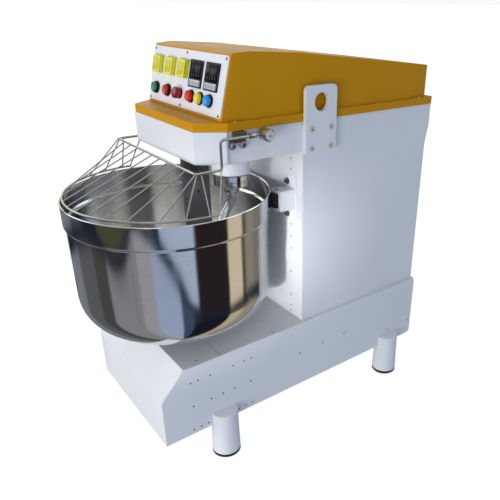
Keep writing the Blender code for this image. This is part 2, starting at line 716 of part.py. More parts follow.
# ================================================================ bowl
def bowl_profile(steps=5):
    """Closed section of the bowl: a rim band, a straight wall and a large rounded corner."""
    def shell(inset, band):
        points = []
        if band:
            points += [(BOWL_R - 0.0015, BOWL_RIM_Z), (BOWL_R, BOWL_RIM_Z - 0.0015),
                       (BOWL_R, BOWL_BAND_Z), (BOWL_WALL_R, BOWL_BAND_Z - 0.004)]
        else:
            points += [(BOWL_R - inset, BOWL_RIM_Z), (BOWL_R - inset, BOWL_BAND_Z),
                       (BOWL_WALL_R - inset, BOWL_BAND_Z - 0.004)]
        centre_r = BOWL_WALL_R - BOWL_CORNER_R
        centre_z = BOWL_FLOOR_Z + BOWL_CORNER_R
        radius = BOWL_CORNER_R - inset
        for i in range(steps + 1):
            a = math.pi / 2 * i / steps
            points.append((centre_r + radius * math.cos(a), centre_z - radius * math.sin(a)))
        return points + [(0.0, BOWL_FLOOR_Z + inset)]

    return shell(0.0, True) + list(reversed(shell(BOWL_WALL, False)))


def make_bowl():
    # outer and inner skins each end on the axis, so the section is a closed strip
    outer_and_inner = bowl_profile()
    half = len(outer_and_inner)
    bm = bmesh.new()
    verts = [bm.verts.new((r, 0.0, z)) for r, z in outer_and_inner]
    on_axis = [i for i in range(half) if outer_and_inner[i][0] == 0.0]
    for i in range(half):
        j = (i + 1) % half
        if i in on_axis and j in on_axis:
            continue
        bm.edges.new((verts[i], verts[j]))
    mesh = bpy.data.meshes.new("bowl")
    bm.to_mesh(mesh)
    bm.free()
    bowl = place("bowl", mesh, STEEL, (0.0, BOWL_Y, 0.0))
    screw = bowl.modifiers.new("Screw", "SCREW")
    screw.axis = "Z"
    screw.angle = math.tau
    screw.steps = screw.render_steps = BIG_ROUND
    screw.use_merge_vertices = True
    screw.merge_threshold = 0.00001
    screw.use_smooth_shade = True

    at = (0.0, BOWL_Y, 0.0)
    hub_top = BOWL_FLOOR_Z - GAP
    turned("bowl_shaft", [(0.0, hub_top), (0.090, hub_top), (0.090, hub_top - 0.012),
                          (0.045, hub_top - 0.020), (SHAFT_R, hub_top - 0.021),
                          (SHAFT_R, 0.205), (0.0, 0.205)], GREY, ROUND, at)
    bore = SHAFT_R + RUN
    turned("bowl_bearing", [(bore, 0.392), (0.052, 0.392), (0.055, 0.389),
                            (0.055, DECK_Z + 0.014), (0.100, DECK_Z + 0.012),
                            (0.100, DECK_Z + GAP), (0.055, DECK_Z + GAP), (0.055, 0.275),
                            (bore, 0.275)], GREY, ROUND, at)
    pulley("bowl_pulley", at, BOWL_PULLEY_R, BOWL_PULLEY_Z0, BOWL_PULLEY_Z1, bore)


# ================================================================ drives
def pulley(name, at, radius, z0, z1, bore=None):
    """A flat-belt pulley with raised lips; without a bore it is solid."""
    lip = 0.004
    rim = [(radius + lip, z1), (radius + lip, z1 - lip), (radius, z1 - lip - 0.001),
           (radius, z0 + lip + 0.001), (radius + lip, z0 + lip), (radius + lip, z0)]
    if bore is None:
        profile = [(0.0, z1)] + rim + [(0.0, z0)]
    else:
        profile = [(bore, z1)] + rim + [(bore, z0)]
    return turned(name, profile, GREY, ROUND, at)


def motor_pulley(name, at, radius, z0, z1, shaft_z):
    """A small pulley with the motor's shaft stub."""
    wheel = pulley(name, (*at, 0.0), radius, z0, z1)
    inner = (z0 + z1) / 2
    stub = cylinder(name + "_stub", (*at, min(shaft_z, inner)), (*at, max(shaft_z, inner)),
                    0.012, sides=14, cutter=True)
    return join(wheel, stub)


def make_motor(name, at, z0, z1, radius, flange_end):
    """A motor: a round case with a square flange at one end and a terminal box at its side."""
    x, y = at
    case = cylinder(name, (x, y, z0), (x, y, z1), radius, MOTOR_BLUE, 24)
    add_bevel(case, 0.004, 1)
    low, high = (z0, z0 + 0.012) if flange_end == "bottom" else (z1 - 0.012, z1)
    flange = cylinder(name + "_flange", (x, y, low), (x, y, high), radius + 0.020, sides=24,
                      cutter=True)
    middle = (z0 + z1) / 2
    terminal = box(name + "_box", (x - 0.045, y + radius - 0.02, middle - 0.04),
                   (x + 0.045, y + radius + 0.045, middle + 0.04), cutter=True)
    bore = cylinder(name + "_bore", (x, y, low - 0.03), (x, y, high + 0.03), 0.014, sides=14,
                    cutter=True)
    join(case, flange, terminal)
    combine(case, bore)
    return case


def belt_loop(a, ra, b, rb, steps=12):
    """An outline around two circles: two arcs joined by their outer tangents.

    The corners stand outside the arcs, so that the flats between them only touch the circles.
    """
    ax, ay = a
    bx, by = b
    away = math.atan2(by - ay, bx - ax)
    spread = math.acos((ra - rb) / math.hypot(bx - ax, by - ay))
    loop = []
    for (x, y), radius, start, end in (
            ((ax, ay), ra, away + spread, away + math.tau - spread),
            ((bx, by), rb, away - spread, away + spread)):
        reach = radius / math.cos((end - start) / steps / 2)
        loop += [(x + reach * math.cos(start + (end - start) * i / steps),
                  y + reach * math.sin(start + (end - start) * i / steps))
                 for i in range(steps + 1)]
    return loop


def make_belt(name, a, ra, b, rb, z0, z1):
    clear = 0.0012
    inner = belt_loop(a, ra + clear, b, rb + clear)
    outer = belt_loop(a, ra + clear + BELT_T, b, rb + clear + BELT_T)
    return plate(name, [outer, inner], z1 - z0, across_z((z0 + z1) / 2), RUBBER)


def make_drives():
    make_motor("spiral_motor", SPIRAL_MOTOR, 0.655, HEAD_Z - GAP, 0.095, "top")
    motor_pulley("spiral_motor_pulley", SPIRAL_MOTOR, MOTOR_PULLEY_R, PULLEY_Z0, PULLEY_Z1,
                 HEAD_Z - 0.025)
    make_belt("spiral_belt", (SPIRAL_X, SPIRAL_Y), SPINDLE_PULLEY_R, SPIRAL_MOTOR,
              MOTOR_PULLEY_R, PULLEY_Z0 + 0.007, PULLEY_Z1 - 0.007)

    make_motor("bowl_motor", BOWL_MOTOR, DECK_Z + GAP, 0.570, 0.075, "bottom")
    motor_pulley("bowl_motor_pulley", BOWL_MOTOR, BOWL_MOTOR_PULLEY_R, BOWL_PULLEY_Z0,
                 BOWL_PULLEY_Z1, DECK_Z + 0.025)
    make_belt("bowl_belt", (0.0, BOWL_Y), BOWL_PULLEY_R, BOWL_MOTOR, BOWL_MOTOR_PULLEY_R,
              BOWL_PULLEY_Z0 + 0.007, BOWL_PULLEY_Z1 - 0.007)


# ================================================================ spiral
def hook_path(points=36):
    """The rod drops from its hub, runs out and down around the axis, and closes in at the foot."""
    path = [(0.0, 0.0, 0.826), (0.0, 0.0, HOOK_Z_TOP)]
    for i in range(1, points + 1):
        t = i / points
        turn = math.tau * HOOK_TURNS * t
        grow = math.sin(min(1.0, t / 0.32) * math.pi / 2) ** 1.3
        close = 1.0 - 0.66 * max(0.0, (t - 0.70) / 0.30) ** 1.7
        radius = HOOK_RADIUS * grow * close
        # the rod is steep where it leaves the hub and nearly level at the foot
        fall = 1.0 - (1.0 - t) ** 1.25 * (1.0 - 0.12 * math.sin(math.pi * t))
        height = HOOK_Z_TOP + (HOOK_Z_BOTTOM - HOOK_Z_TOP) * fall
        angle = math.radians(200) + turn
        path.append((radius * math.cos(angle), radius * math.sin(angle), height))
    return [Vector((SPIRAL_X + x, SPIRAL_Y + y, z)) for x, y, z in path]


def make_spiral():
    at = (SPIRAL_X, SPIRAL_Y, 0.0)
    bore = SHAFT_R + RUN
    shelf_top = HEAD_Z + BODY_T + GAP
    neck = HOUSING_R - 0.003
    turned("spindle_housing", [
        (bore, shelf_top + 0.012), (0.074, shelf_top + 0.012), (0.074, shelf_top),
        (neck, shelf_top), (neck, HEAD_Z - GAP), (HOUSING_R, HEAD_Z - GAP),
        (HOUSING_R, HOUSING_Z0 + 0.001), (HOUSING_R - 0.001, HOUSING_Z0), (bore, HOUSING_Z0)],
        WHITE, ROUND, at)
    turned("spindle_shaft", [
        (0.0, 1.005), (SHAFT_R, 1.005), (SHAFT_R, COLLAR_Z1), (COLLAR_R - 0.001, COLLAR_Z1),
        (COLLAR_R, COLLAR_Z1 - 0.001), (COLLAR_R, COLLAR_Z0 + 0.001),
        (COLLAR_R - 0.001, COLLAR_Z0), (0.0, COLLAR_Z0)], STEEL, ROUND, at)
    pulley("spindle_pulley", at, SPINDLE_PULLEY_R, PULLEY_Z0, PULLEY_Z1, bore)

    hub = turned("spiral_hook", [
        (0.0, COLLAR_Z0 - GAP), (HOOK_HUB_R + 0.004, COLLAR_Z0 - GAP),
        (HOOK_HUB_R, COLLAR_Z0 - 0.010), (HOOK_HUB_R, 0.818), (HOOK_ROD_R + 0.001, 0.808),
        (0.0, 0.808)], STEEL, 24, at)
    rod = wire("hook_rod", hook_path(), HOOK_ROD_R, resolution=2, cutter=True)
    join(hub, rod)


def make_post():
    """A flat breaker bar that hangs from the head beside the spiral."""
    shelf_top = HEAD_Z + BODY_T + GAP
    post = box("breaker_post", (POST_X0, POST_Y0, POST_Z0), (POST_X1, POST_Y1, shelf_top + 0.010),
               STEEL, bevel=0.002)
    foot = box("post_flange", (POST_X0 - 0.022, POST_Y0 - 0.012, shelf_top),
               (POST_X1 + 0.020, POST_Y1 + 0.012, shelf_top + 0.012), cutter=True)
    join(post, foot)


# ================================================================ guard
def ring_point(angle):
    return Vector((RING_R * math.cos(angle), BOWL_Y + RING_R * math.sin(angle), RING_Z))


def make_guard():
    """A wire hood over the front half of the bowl, on two arms that pivot beside the head."""
    axis = (0.0, PIVOT_Y, ARM_Z)
    frame = []
    for sign in (1, -1):
        side = [(sign * ARM_X, PIVOT_Y - 0.0105, ARM_Z), (sign * ARM_X, ELBOW_Y, ARM_Z),
                (sign * ARM_X, ELBOW_Y, BAR_Z), (sign * ARM_X, BAR_Y, BAR_Z)]
        frame += side if sign == 1 else side[::-1]
    guard = wire("bowl_guard", bent(frame, 0.009, 3), FRAME_R, STEEL, 2, origin=axis)
    for side, sign in (("right", 1), ("left", -1)):
        hub = cylinder(f"guard_hub_{side}", (sign * HUB_X0, PIVOT_Y, ARM_Z),
                       (sign * HUB_X1, PIVOT_Y, ARM_Z), HUB_R, sides=26, cutter=True)
        bore = cylinder(f"guard_bore_{side}", (sign * (HUB_X0 - 0.01), PIVOT_Y, ARM_Z),
                        (sign * (HUB_X1 + 0.01), PIVOT_Y, ARM_Z), PIVOT_R + RUN, sides=20,
                        cutter=True)
        sleeve = cylinder(f"guard_sleeve_{side}", (sign * ARM_X, PIVOT_Y - 0.047, ARM_Z),
                          (sign * ARM_X, PIVOT_Y - 0.028, ARM_Z), 0.0078, sides=14, cutter=True)
        join(guard, combine(hub, bore), sleeve)

    count = 34
    sweep = math.pi + 2 * RING_END
    ring = [ring_point(RING_END - sweep * i / count) for i in range(count + 1)]
    pieces = [wire("guard_ring", ring, FRAME_R - 0.0006, cutter=True)]

    rods = []
    for i in range(GUARD_RODS):
        x = ARM_X * (1 - 2 * i / (GUARD_RODS - 1))
        rods.append(((x, BAR_Y, BAR_Z), (x, BOWL_Y - math.sqrt(RING_R ** 2 - x ** 2), RING_Z)))
    for sign in (1, -1):
        for start_y, degrees in ((BAR_Y + 0.004, -17.0), (BAR_Y + 0.016, -4.4)):
            end = ring_point(math.radians(degrees))
            rods.append(((sign * ARM_X, start_y, BAR_Z), (sign * end.x, end.y, end.z)))
        end = ring_point(RING_END - 0.004)
        rods.append(((sign * ARM_X, ELBOW_Y - 0.002, BAR_Z + 0.001), (sign * end.x, end.y, end.z)))
    pieces += [cylinder(f"guard_rod_{i}", a, b, WIRE_R, sides=6, cutter=True)
               for i, (a, b) in enumerate(rods)]

    join(guard, *pieces)
    for side, sign in (("right", 1), ("left", -1)):
        pin = cylinder(f"guard_pin_{side}", (sign * (BODY_HALF_W - BODY_T - 0.006), PIVOT_Y, ARM_Z),
                       (sign * (HUB_X1 + 0.001), PIVOT_Y, ARM_Z), PIVOT_R, STEEL, 20)
        washer = cylinder(f"pin_washer_{side}", (sign * (HUB_X1 + GAP), PIVOT_Y, ARM_Z),
                          (sign * (HUB_X1 + 0.0025), PIVOT_Y, ARM_Z), 0.0155, sides=20,
                          cutter=True)
        boss = cylinder(f"pin_boss_{side}", (sign * (BODY_HALF_W + GAP), PIVOT_Y, ARM_Z),
                        (sign * (HUB_X0 - GAP), PIVOT_Y, ARM_Z), 0.011, sides=20, cutter=True)
        join(pin, washer, boss)


def make_guard_switch():
    """A switch block and its bracket on the right side of the head, inboard of the guard's arm."""
    x0 = BODY_HALF_W + GAP
    x1 = ARM_X - FRAME_R - 0.001
    y0, y1 = BOWL_Y + 0.089, BOWL_Y + 0.1245
    block = box("guard_switch", (x0, y0, ARM_Z - 0.007), (x1, y1, ARM_Z + 0.012), DARK,
                bevel=0.001)
    web = box("switch_web", (x0, y0 - 0.010, ARM_Z - 0.018), (x0 + 0.004, y1 + 0.003, ARM_Z - 0.005),
              cutter=True)
    join(block, web)
    for i, y in enumerate((BOWL_Y + 0.0862, BOWL_Y + 0.1182)):
        join(block,
             cylinder(f"switch_ear_{i}", (x0, y, ARM_Z - 0.025), (x0 + 0.004, y, ARM_Z - 0.025),
                      0.0090, sides=14, cutter=True),
             cylinder(f"switch_bolt_{i}", (x0 + 0.003, y, ARM_Z - 0.025),
                      (x0 + 0.011, y, ARM_Z - 0.025), 0.0070, sides=12, radius_end=0.0045,
                      cutter=True))


# ================================================================ bowl rollers
def make_roller(side, sign):
    """A roller in a forked block on the column steadies the bowl's rim band."""
    x = sign * ROLLER_DIST * math.cos(ROLLER_ANGLE)
    y = BOWL_Y + ROLLER_DIST * math.sin(ROLLER_ANGLE)
    turned(f"bowl_roller_{side}", [
        (0.0, ROLLER_Z1), (ROLLER_R - 0.001, ROLLER_Z1), (ROLLER_R, ROLLER_Z1 - 0.001),
        (ROLLER_R, ROLLER_Z0 + 0.001), (ROLLER_R - 0.001, ROLLER_Z0), (0.0, ROLLER_Z0)],
        RUBBER, 28, (x, y, 0.0))

    face = COL_FRONT - GAP
    xs = sorted((sign * 0.141, sign * 0.2025))
    bracket = box(f"roller_bracket_{side}", (xs[0], face - 0.004, 0.7155),
                  (xs[1], face, 0.8485), WHITE, bevel=0.0008)
    bx = sorted((sign * BLOCK_X0, sign * BLOCK_X1))
    block = box(f"roller_block_{side}", (bx[0], BLOCK_Y0, BLOCK_Z0), (bx[1], face - 0.003, BLOCK_Z1),
                cutter=True)
    fork = cylinder(f"roller_space_{side}", (x, y, ROLLER_Z0 - 0.0006), (x, y, ROLLER_Z1 + 0.0006),
                    ROLLER_R + 0.0012, sides=28, cutter=True)
    mouth = box(f"roller_mouth_{side}", (x - ROLLER_R - 0.0012, BLOCK_Y0 - 0.01, ROLLER_Z0 - 0.0006),
                (x + ROLLER_R + 0.0012, y, ROLLER_Z1 + 0.0006), cutter=True)
    join(bracket, block)
    combine(bracket, fork)
    combine(bracket, mouth)
    for i, z in enumerate((0.7220, 0.8270)):
        bolt = cylinder(f"bracket_bolt_{side}_{i}", (sign * 0.158, face - 0.003, z),
                        (sign * 0.158, face - 0.012, z), 0.0075, sides=6, cutter=True)
        join(bracket, bolt)


def make_cable_gland():
    """The cable inlet low on the rear wall of the base."""
    at = (0.150, BASE_REAR + GAP, 0.200)
    cylinder("cable_gland", at, (0.150, BASE_REAR + 0.011, 0.200), 0.013, BLACK, 6)


def main():
    make_base()
    make_feet()
    make_body()
    make_lug("right", 1)
    make_lug("left", -1)
    make_cover()
    make_panel()
    make_bowl()
    make_drives()
    make_spiral()
    make_post()
    make_guard()
    make_guard_switch()
    make_roller("right", 1)
    make_roller("left", -1)
    make_cable_gland()


main()
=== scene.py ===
import json
import math

import bmesh
import bpy
from mathutils import Matrix, Vector


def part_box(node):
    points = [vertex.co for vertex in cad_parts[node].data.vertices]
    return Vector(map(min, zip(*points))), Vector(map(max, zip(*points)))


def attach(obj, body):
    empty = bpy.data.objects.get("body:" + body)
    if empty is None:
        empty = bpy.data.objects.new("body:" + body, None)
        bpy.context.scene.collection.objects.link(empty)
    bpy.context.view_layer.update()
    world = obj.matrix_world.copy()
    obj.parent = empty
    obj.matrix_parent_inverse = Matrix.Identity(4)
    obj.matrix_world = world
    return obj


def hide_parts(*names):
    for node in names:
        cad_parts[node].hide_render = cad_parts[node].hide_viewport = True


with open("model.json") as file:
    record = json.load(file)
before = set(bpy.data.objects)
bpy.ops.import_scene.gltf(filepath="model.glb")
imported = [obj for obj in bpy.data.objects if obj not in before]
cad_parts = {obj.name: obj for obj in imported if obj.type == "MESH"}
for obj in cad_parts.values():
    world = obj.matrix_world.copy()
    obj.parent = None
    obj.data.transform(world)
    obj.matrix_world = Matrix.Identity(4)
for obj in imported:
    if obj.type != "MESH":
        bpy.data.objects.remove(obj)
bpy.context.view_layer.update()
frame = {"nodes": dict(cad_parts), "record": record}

NODES = frame["nodes"]
BODY = {n: b for b, ns in frame["record"]["behaviour"]["bodies"].items() for n in ns}
SLOT = {s["node"]: s["material_slot"] for s in frame["record"]["subparts"]}


# ================================================================ dimensions read from the frame
def span(node, axis):
    low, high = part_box(node)
    return low[axis], high[axis]


BOWL_Y = sum(span("bowl", 1)) / 2
BOWL_R = span("bowl", 0)[1]
RIM_Z = span("bowl", 2)[1]
FLOOR_Z = span("bowl", 2)[0]
DECK_Z = span("base_deck", 2)[1]
SIDE_X = span("base_side_right", 0)[1]
BODY_X = span("body_side_right", 0)[1]
COL_FRONT = span("column_front", 1)[0]
LUG_X = span("lifting_lug_right", 0)[1]
FLANGE_Z = 1.0395       # top of the cover's flange
TILT = math.radians(13.9)
# the panel's own u (right), v (up its slope) and w (out of it), as in the CAD
PANEL = Matrix(((1, 0, 0, 0),
                (0, math.sin(TILT), -math.cos(TILT), BOWL_Y + 0.0668),
                (0, math.cos(TILT), math.sin(TILT), 1.0460),
                (0, 0, 0, 1)))
PANEL_T = 0.003
RIVET_SIDES = 14


# ================================================================ materials
class Look:
    """A Principled material with helpers for its procedural detail."""

    def __init__(self, name, colour, rough, metal=0.0, **more):
        self.mat = bpy.data.materials.new(name)
        self.mat.use_nodes = True
        self.tree = self.mat.node_tree
        self.shader = self.tree.nodes["Principled BSDF"]
        self.colour = (*colour, 1.0)
        self.shader.inputs["Base Color"].default_value = self.colour
        self.shader.inputs["Roughness"].default_value = rough
        self.shader.inputs["Metallic"].default_value = metal
        for key, value in more.items():
            self.shader.inputs[key.replace("_", " ")].default_value = value
        self.coords = self.tree.nodes.new("ShaderNodeTexCoord").outputs["Object"]
        self.normal = None

    def node(self, kind, settings=None, **inputs):
        made = self.tree.nodes.new("ShaderNode" + kind)
        for key, value in (settings or {}).items():
            setattr(made, key, value)
        for key, value in inputs.items():
            socket = made.inputs[key.replace("_", " ")]
            if isinstance(value, bpy.types.NodeSocket):
                self.tree.links.new(value, socket)
            else:
                socket.default_value = value
        return made

    def noise(self, scale, detail=3.0, stretch=(1, 1, 1), rough=0.5):
        where = self.node("Mapping", Vector=self.coords, Scale=stretch).outputs[0]
        return self.node("TexNoise", Vector=where, Scale=scale, Detail=detail,
                         Roughness=rough).outputs[0]

    def ranged(self, value, low, high, to_low=0.0, to_high=1.0):
        return self.node("MapRange", Value=value, From_Min=low, From_Max=high, To_Min=to_low,
                         To_Max=to_high).outputs[0]

    def tint(self, factor, other):
        """Mix the colour so far with another one."""
        mix = self.node("Mix", {"data_type": "RGBA"})
        socket = self.shader.inputs["Base Color"]
        if socket.is_linked:
            self.tree.links.new(socket.links[0].from_socket, mix.inputs[6])
        else:
            mix.inputs[6].default_value = self.colour
        mix.inputs[7].default_value = (*other, 1.0)
        self.tree.links.new(factor, mix.inputs[0])
        self.tree.links.new(mix.outputs[2], socket)

    def roughness(self, factor, low, high, a=0.3, b=0.7):
        self.tree.links.new(self.ranged(factor, a, b, low, high), self.shader.inputs["Roughness"])

    def bump(self, height, strength, distance):
        made = self.node("Bump", Height=height, Strength=strength, Distance=distance)
        if self.normal is not None:
            self.tree.links.new(self.normal, made.inputs["Normal"])
        self.normal = made.outputs[0]
        self.tree.links.new(self.normal, self.shader.inputs["Normal"])


def paint(name, colour, rough, cloud=0.95, peel=0.10, **more):
    """Powder coat: orange peel, faint clouds and a few fine specks."""
    look = Look(name, colour, rough, 0.0, **more)
    darker = tuple(c * cloud for c in colour)
    look.tint(look.ranged(look.noise(3.1, 4.0), 0.38, 0.68, 0.0, 0.9), darker)
    look.tint(look.ranged(look.noise(150.0, 2.0), 0.70, 0.78, 0.0, 0.22),
              tuple(c * 0.86 for c in colour))
    look.roughness(look.noise(14.0, 3.0), rough - 0.05, rough + 0.08)
    look.bump(look.noise(430.0, 2.0), peel, 0.0004)
    return look.mat


def metal(name, colour, rough, lines=(1, 1, 1), line_bump=0.05, spread=0.05, aniso=0.0, turn=0.0):
    """Ground or polished metal: fine lines along one direction, smears and light scratches."""
    look = Look(name, colour, rough, 1.0)
    look.shader.inputs["Anisotropic"].default_value = aniso
    look.shader.inputs["Anisotropic Rotation"].default_value = turn
    grain = look.noise(38.0, 5.0, lines, 0.6)
    look.tint(look.ranged(grain, 0.35, 0.75, 0.0, 0.5), tuple(c * 0.82 for c in colour))
    look.roughness(look.noise(9.0, 4.0), max(0.03, rough - spread), rough + spread)
    look.bump(grain, line_bump, 0.0003)
    scratch = look.ranged(look.noise(60.0, 2.0, (7, 1, 2)), 0.70, 0.74)
    look.bump(scratch, line_bump * 0.6, 0.0002)
    if aniso:
        tangent = look.node("Tangent", {"direction_type": "RADIAL", "axis": "Z"})
        look.tree.links.new(tangent.outputs[0], look.shader.inputs["Tangent"])
    return look.mat


def plastic(name, colour, rough, grain=0.04, **more):
    """Moulded plastic: a fine spark-eroded grain and finger marks in the gloss."""
    look = Look(name, colour, rough, 0.0, **more)
    look.tint(look.ranged(look.noise(55.0, 3.0), 0.35, 0.75, 0.0, 0.6),
              tuple(c * 0.85 for c in colour))
    look.roughness(look.noise(28.0, 3.0), max(0.04, rough - 0.06), rough + 0.10)
    look.bump(look.noise(1400.0, 1.0), grain, 0.0002)
    return look.mat


def rubber(name, colour):
    look = Look(name, colour, 0.75)
    look.tint(look.ranged(look.noise(40.0, 4.0), 0.45, 0.75), tuple(c * 2.2 + 0.01 for c in colour))
    look.roughness(look.noise(22.0, 3.0), 0.6, 0.9)
    look.bump(look.noise(900.0, 2.0), 0.2, 0.0004)
    return look.mat


WHITE = paint("coat_white", (0.80, 0.82, 0.85), 0.34)
OCHRE = paint("coat_ochre", (0.62, 0.285, 0.003), 0.36, 0.95, 0.08, Specular_IOR_Level=0.14)
PANEL_WHITE = paint("panel_enamel", (0.79, 0.79, 0.83), 0.42, 0.97, 0.05)
MOTOR = paint("motor_coat", (0.06, 0.10, 0.16), 0.5)
BOWL_STEEL = metal("bowl_steel", (0.80, 0.79, 0.78), 0.085, (1, 1, 16), 0.008, 0.03, 0.55, 0.25)
# the bowl's inside is a lighter copy of the bowl steel: its lighter colour is painted light that
# brightens the interior; its higher roughness and anisotropy are surface finish
BOWL_INSIDE_BRIGHTENED = metal("bowl_inside_brightened", (0.92, 0.92, 0.92), 0.20, (1, 1, 16), 0.008, 0.03, 0.95, 0.25)
POLISHED = metal("polished_steel", (0.74, 0.74, 0.75), 0.16, (1, 1, 9), 0.05)
WIRE = metal("wire_steel", (0.50, 0.50, 0.51), 0.28, (6, 6, 6), 0.08)
GREY_STEEL = metal("machined_steel", (0.33, 0.34, 0.36), 0.38, (1, 1, 12), 0.1, 0.08)
DARK_STEEL = metal("dark_steel", (0.20, 0.20, 0.21), 0.32, (1, 10, 1), 0.08)
POST_STEEL = metal("post_steel", (0.34, 0.33, 0.34), 0.27, (10, 10, 1), 0.04)
SCREW = metal("screw_steel", (0.50, 0.51, 0.53), 0.28, (5, 5, 5), 0.08)
DARK_SCREW = metal("screw_dark", (0.12, 0.13, 0.15), 0.35, (5, 5, 5), 0.08)
RUBBER = rubber("black_rubber", (0.010, 0.010, 0.011))
BLACK = plastic("black_plastic", (0.005, 0.005, 0.006), 0.34, Specular_IOR_Level=0.20)
WASHER = plastic("beige_washer", (0.66, 0.62, 0.53), 0.45, 0.08)
KEYPAD = plastic("keypad_grey", (0.56, 0.58, 0.64), 0.5)
KEY = plastic("key_grey", (0.36, 0.38, 0.43), 0.45)
DISPLAY = plastic("display_window", (0.003, 0.003, 0.004), 0.16, 0.01, Specular_IOR_Level=0.06)
SEGMENT = plastic("display_segment", (0.060, 0.062, 0.066), 0.3, 0.01)
FLIP = plastic("flip_yellow", (0.84, 0.79, 0.020), 0.22, 0.02, Transmission_Weight=0.12, IOR=1.46)
FLIP_INNER = plastic("flip_yellow_centre", (0.62, 0.57, 0.025), 0.28, 0.02)
CAPS = {
    "button_green": plastic("cap_green", (0.035, 0.20, 0.075), 0.22),
    "button_red_guarded": plastic("cap_red_guarded", (0.50, 0.012, 0.018), 0.22),
    "button_stop": plastic("cap_stop", (0.30, 0.010, 0.015), 0.22),
    "button_red": plastic("cap_red", (0.70, 0.016, 0.010), 0.22),
    "button_yellow": plastic("cap_yellow", (0.76, 0.66, 0.025), 0.22),
    "button_blue": plastic("cap_blue", (0.012, 0.26, 0.75), 0.22),
}
SLOT_LOOK = {
    "white_paint": WHITE, "grey_steel": GREY_STEEL, "ochre_paint": OCHRE,
    "polished_steel": POLISHED, "dark_steel": DARK_STEEL, "panel_white": PANEL_WHITE,
    "black_rubber": RUBBER, "black_plastic": BLACK, "yellow_clear_plastic": FLIP,
    "motor_paint": MOTOR, **CAPS,
}
for name, obj in NODES.items():
    obj.data.materials.clear()
    obj.data.materials.append(SLOT_LOOK[SLOT[name]])


# ================================================================ building pieces
def piece(name, bm, mat, body, replaces=(), angle=35.0, recalc=True):
    """Make a mesh piece from a bmesh in world coordinates and let it ride on a body."""
    if recalc:
        bmesh.ops.recalc_face_normals(bm, faces=bm.faces)
    mesh = bpy.data.meshes.new(name)
    bm.to_mesh(mesh)
    bm.free()
    mesh.shade_smooth()
    mesh.set_sharp_from_angle(angle=math.radians(angle))
    mats = mat if isinstance(mat, (list, tuple)) else [mat]
    for m in mats:
        mesh.materials.append(m)
    obj = bpy.data.objects.new(name, mesh)
    bpy.context.scene.collection.objects.link(obj)
    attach(obj, body)
    if replaces:
        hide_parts(*replaces)
    return obj


def refined(node, width, segments=2, mat=None):
    """A copy of a CAD node with its edges rounded, standing for that node."""
    bm = bmesh.new()
    bm.from_mesh(NODES[node].data)
    bmesh.ops.remove_doubles(bm, verts=bm.verts, dist=0.000004)
    bmesh.ops.dissolve_limit(bm, angle_limit=math.radians(0.7), verts=bm.verts, edges=bm.edges)
    obj = piece(node + "_skin", bm, mat or SLOT_LOOK[SLOT[node]], BODY[node], [node],
                180.0)
    bevel = obj.modifiers.new("Edges", "BEVEL")
    bevel.width = width
    bevel.segments = segments
    bevel.limit_method = "ANGLE"
    bevel.angle_limit = math.radians(33)
    bevel.use_clamp_overlap = True
    bevel.miter_outer = "MITER_ARC"
    weighted = obj.modifiers.new("Normals", "WEIGHTED_NORMAL")
    weighted.keep_sharp = True
    weighted.weight = 80
    return obj


def basis(axis):
    """A matrix that turns +Z to an axis."""
    return Vector(axis).normalized().to_track_quat("Z", "X").to_matrix().to_4x4()


def lathe(bm, profile, matrix, sides=32, index=0):
    """Turn a profile of (radius, height) about Z into bm; its ends on the axis close it."""
    rings = []
    for r, z in profile:
        if r < 1e-7:
            rings.append([bm.verts.new(matrix @ Vector((0, 0, z)))])
        else:
            rings.append([bm.verts.new(matrix @ Vector((r * math.cos(math.tau * i / sides),
                                                        r * math.sin(math.tau * i / sides), z)))
                          for i in range(sides)])
    closed = profile[0][0] > 1e-7 and profile[-1][0] > 1e-7
    pairs = list(zip(rings, rings[1:])) + ([(rings[-1], rings[0])] if closed else [])
    for a, b in pairs:
        for i in range(sides):
            j = (i + 1) % sides
            loop = [a[i % len(a)], a[j % len(a)], b[j % len(b)], b[i % len(b)]]
            loop = [v for k, v in enumerate(loop) if v not in loop[:k]]
            if len(loop) > 2:
                bm.faces.new(loop).material_index = index


def tube(bm, points, radius, sides=12, index=0, taper=None):
    """A round bar with capped ends along a smooth list of points."""
    points = [Vector(p) for p in points]
    count = len(points)
    side = None
    rings = []
    for i, p in enumerate(points):
        ahead = (points[min(i + 1, count - 1)] - points[max(i - 1, 0)]).normalized()
        if side is None:
            side = ahead.orthogonal().normalized()
        side = (side - ahead * side.dot(ahead)).normalized()
        other = ahead.cross(side)
        r = radius * (taper(i / (count - 1)) if taper else 1.0)
        rings.append([bm.verts.new(p + r * (math.cos(math.tau * k / sides) * side
                                            + math.sin(math.tau * k / sides) * other))
                      for k in range(sides)])
    for a, b in zip(rings, rings[1:]):
        for k in range(sides):
            bm.faces.new((a[k], a[(k + 1) % sides], b[(k + 1) % sides],
                          b[k])).material_index = index
    bm.faces.new(list(reversed(rings[0]))).material_index = index
    bm.faces.new(rings[-1]).material_index = index


def block(bm, low, high, matrix=Matrix.Identity(4), bevel=0.0, index=0):
    """A box with rounded edges, placed by a matrix."""
    low, high = Vector(low), Vector(high)
    new = bmesh.ops.create_cube(bm, size=1.0)["verts"]
    bmesh.ops.scale(bm, vec=high - low, verts=new)
    bmesh.ops.translate(bm, vec=(low + high) / 2, verts=new)
    faces = {f for v in new for f in v.link_faces}
    for f in faces:
        f.material_index = index
    bmesh.ops.transform(bm, matrix=matrix, verts=new)
    if bevel:
        edges = list({e for v in new for e in v.link_edges})
        bmesh.ops.bevel(bm, geom=edges, offset=bevel, segments=2, affect="EDGES",
                        profile=0.5)


def at(point, axis):
    return Matrix.Translation(Vector(point)) @ basis(axis)


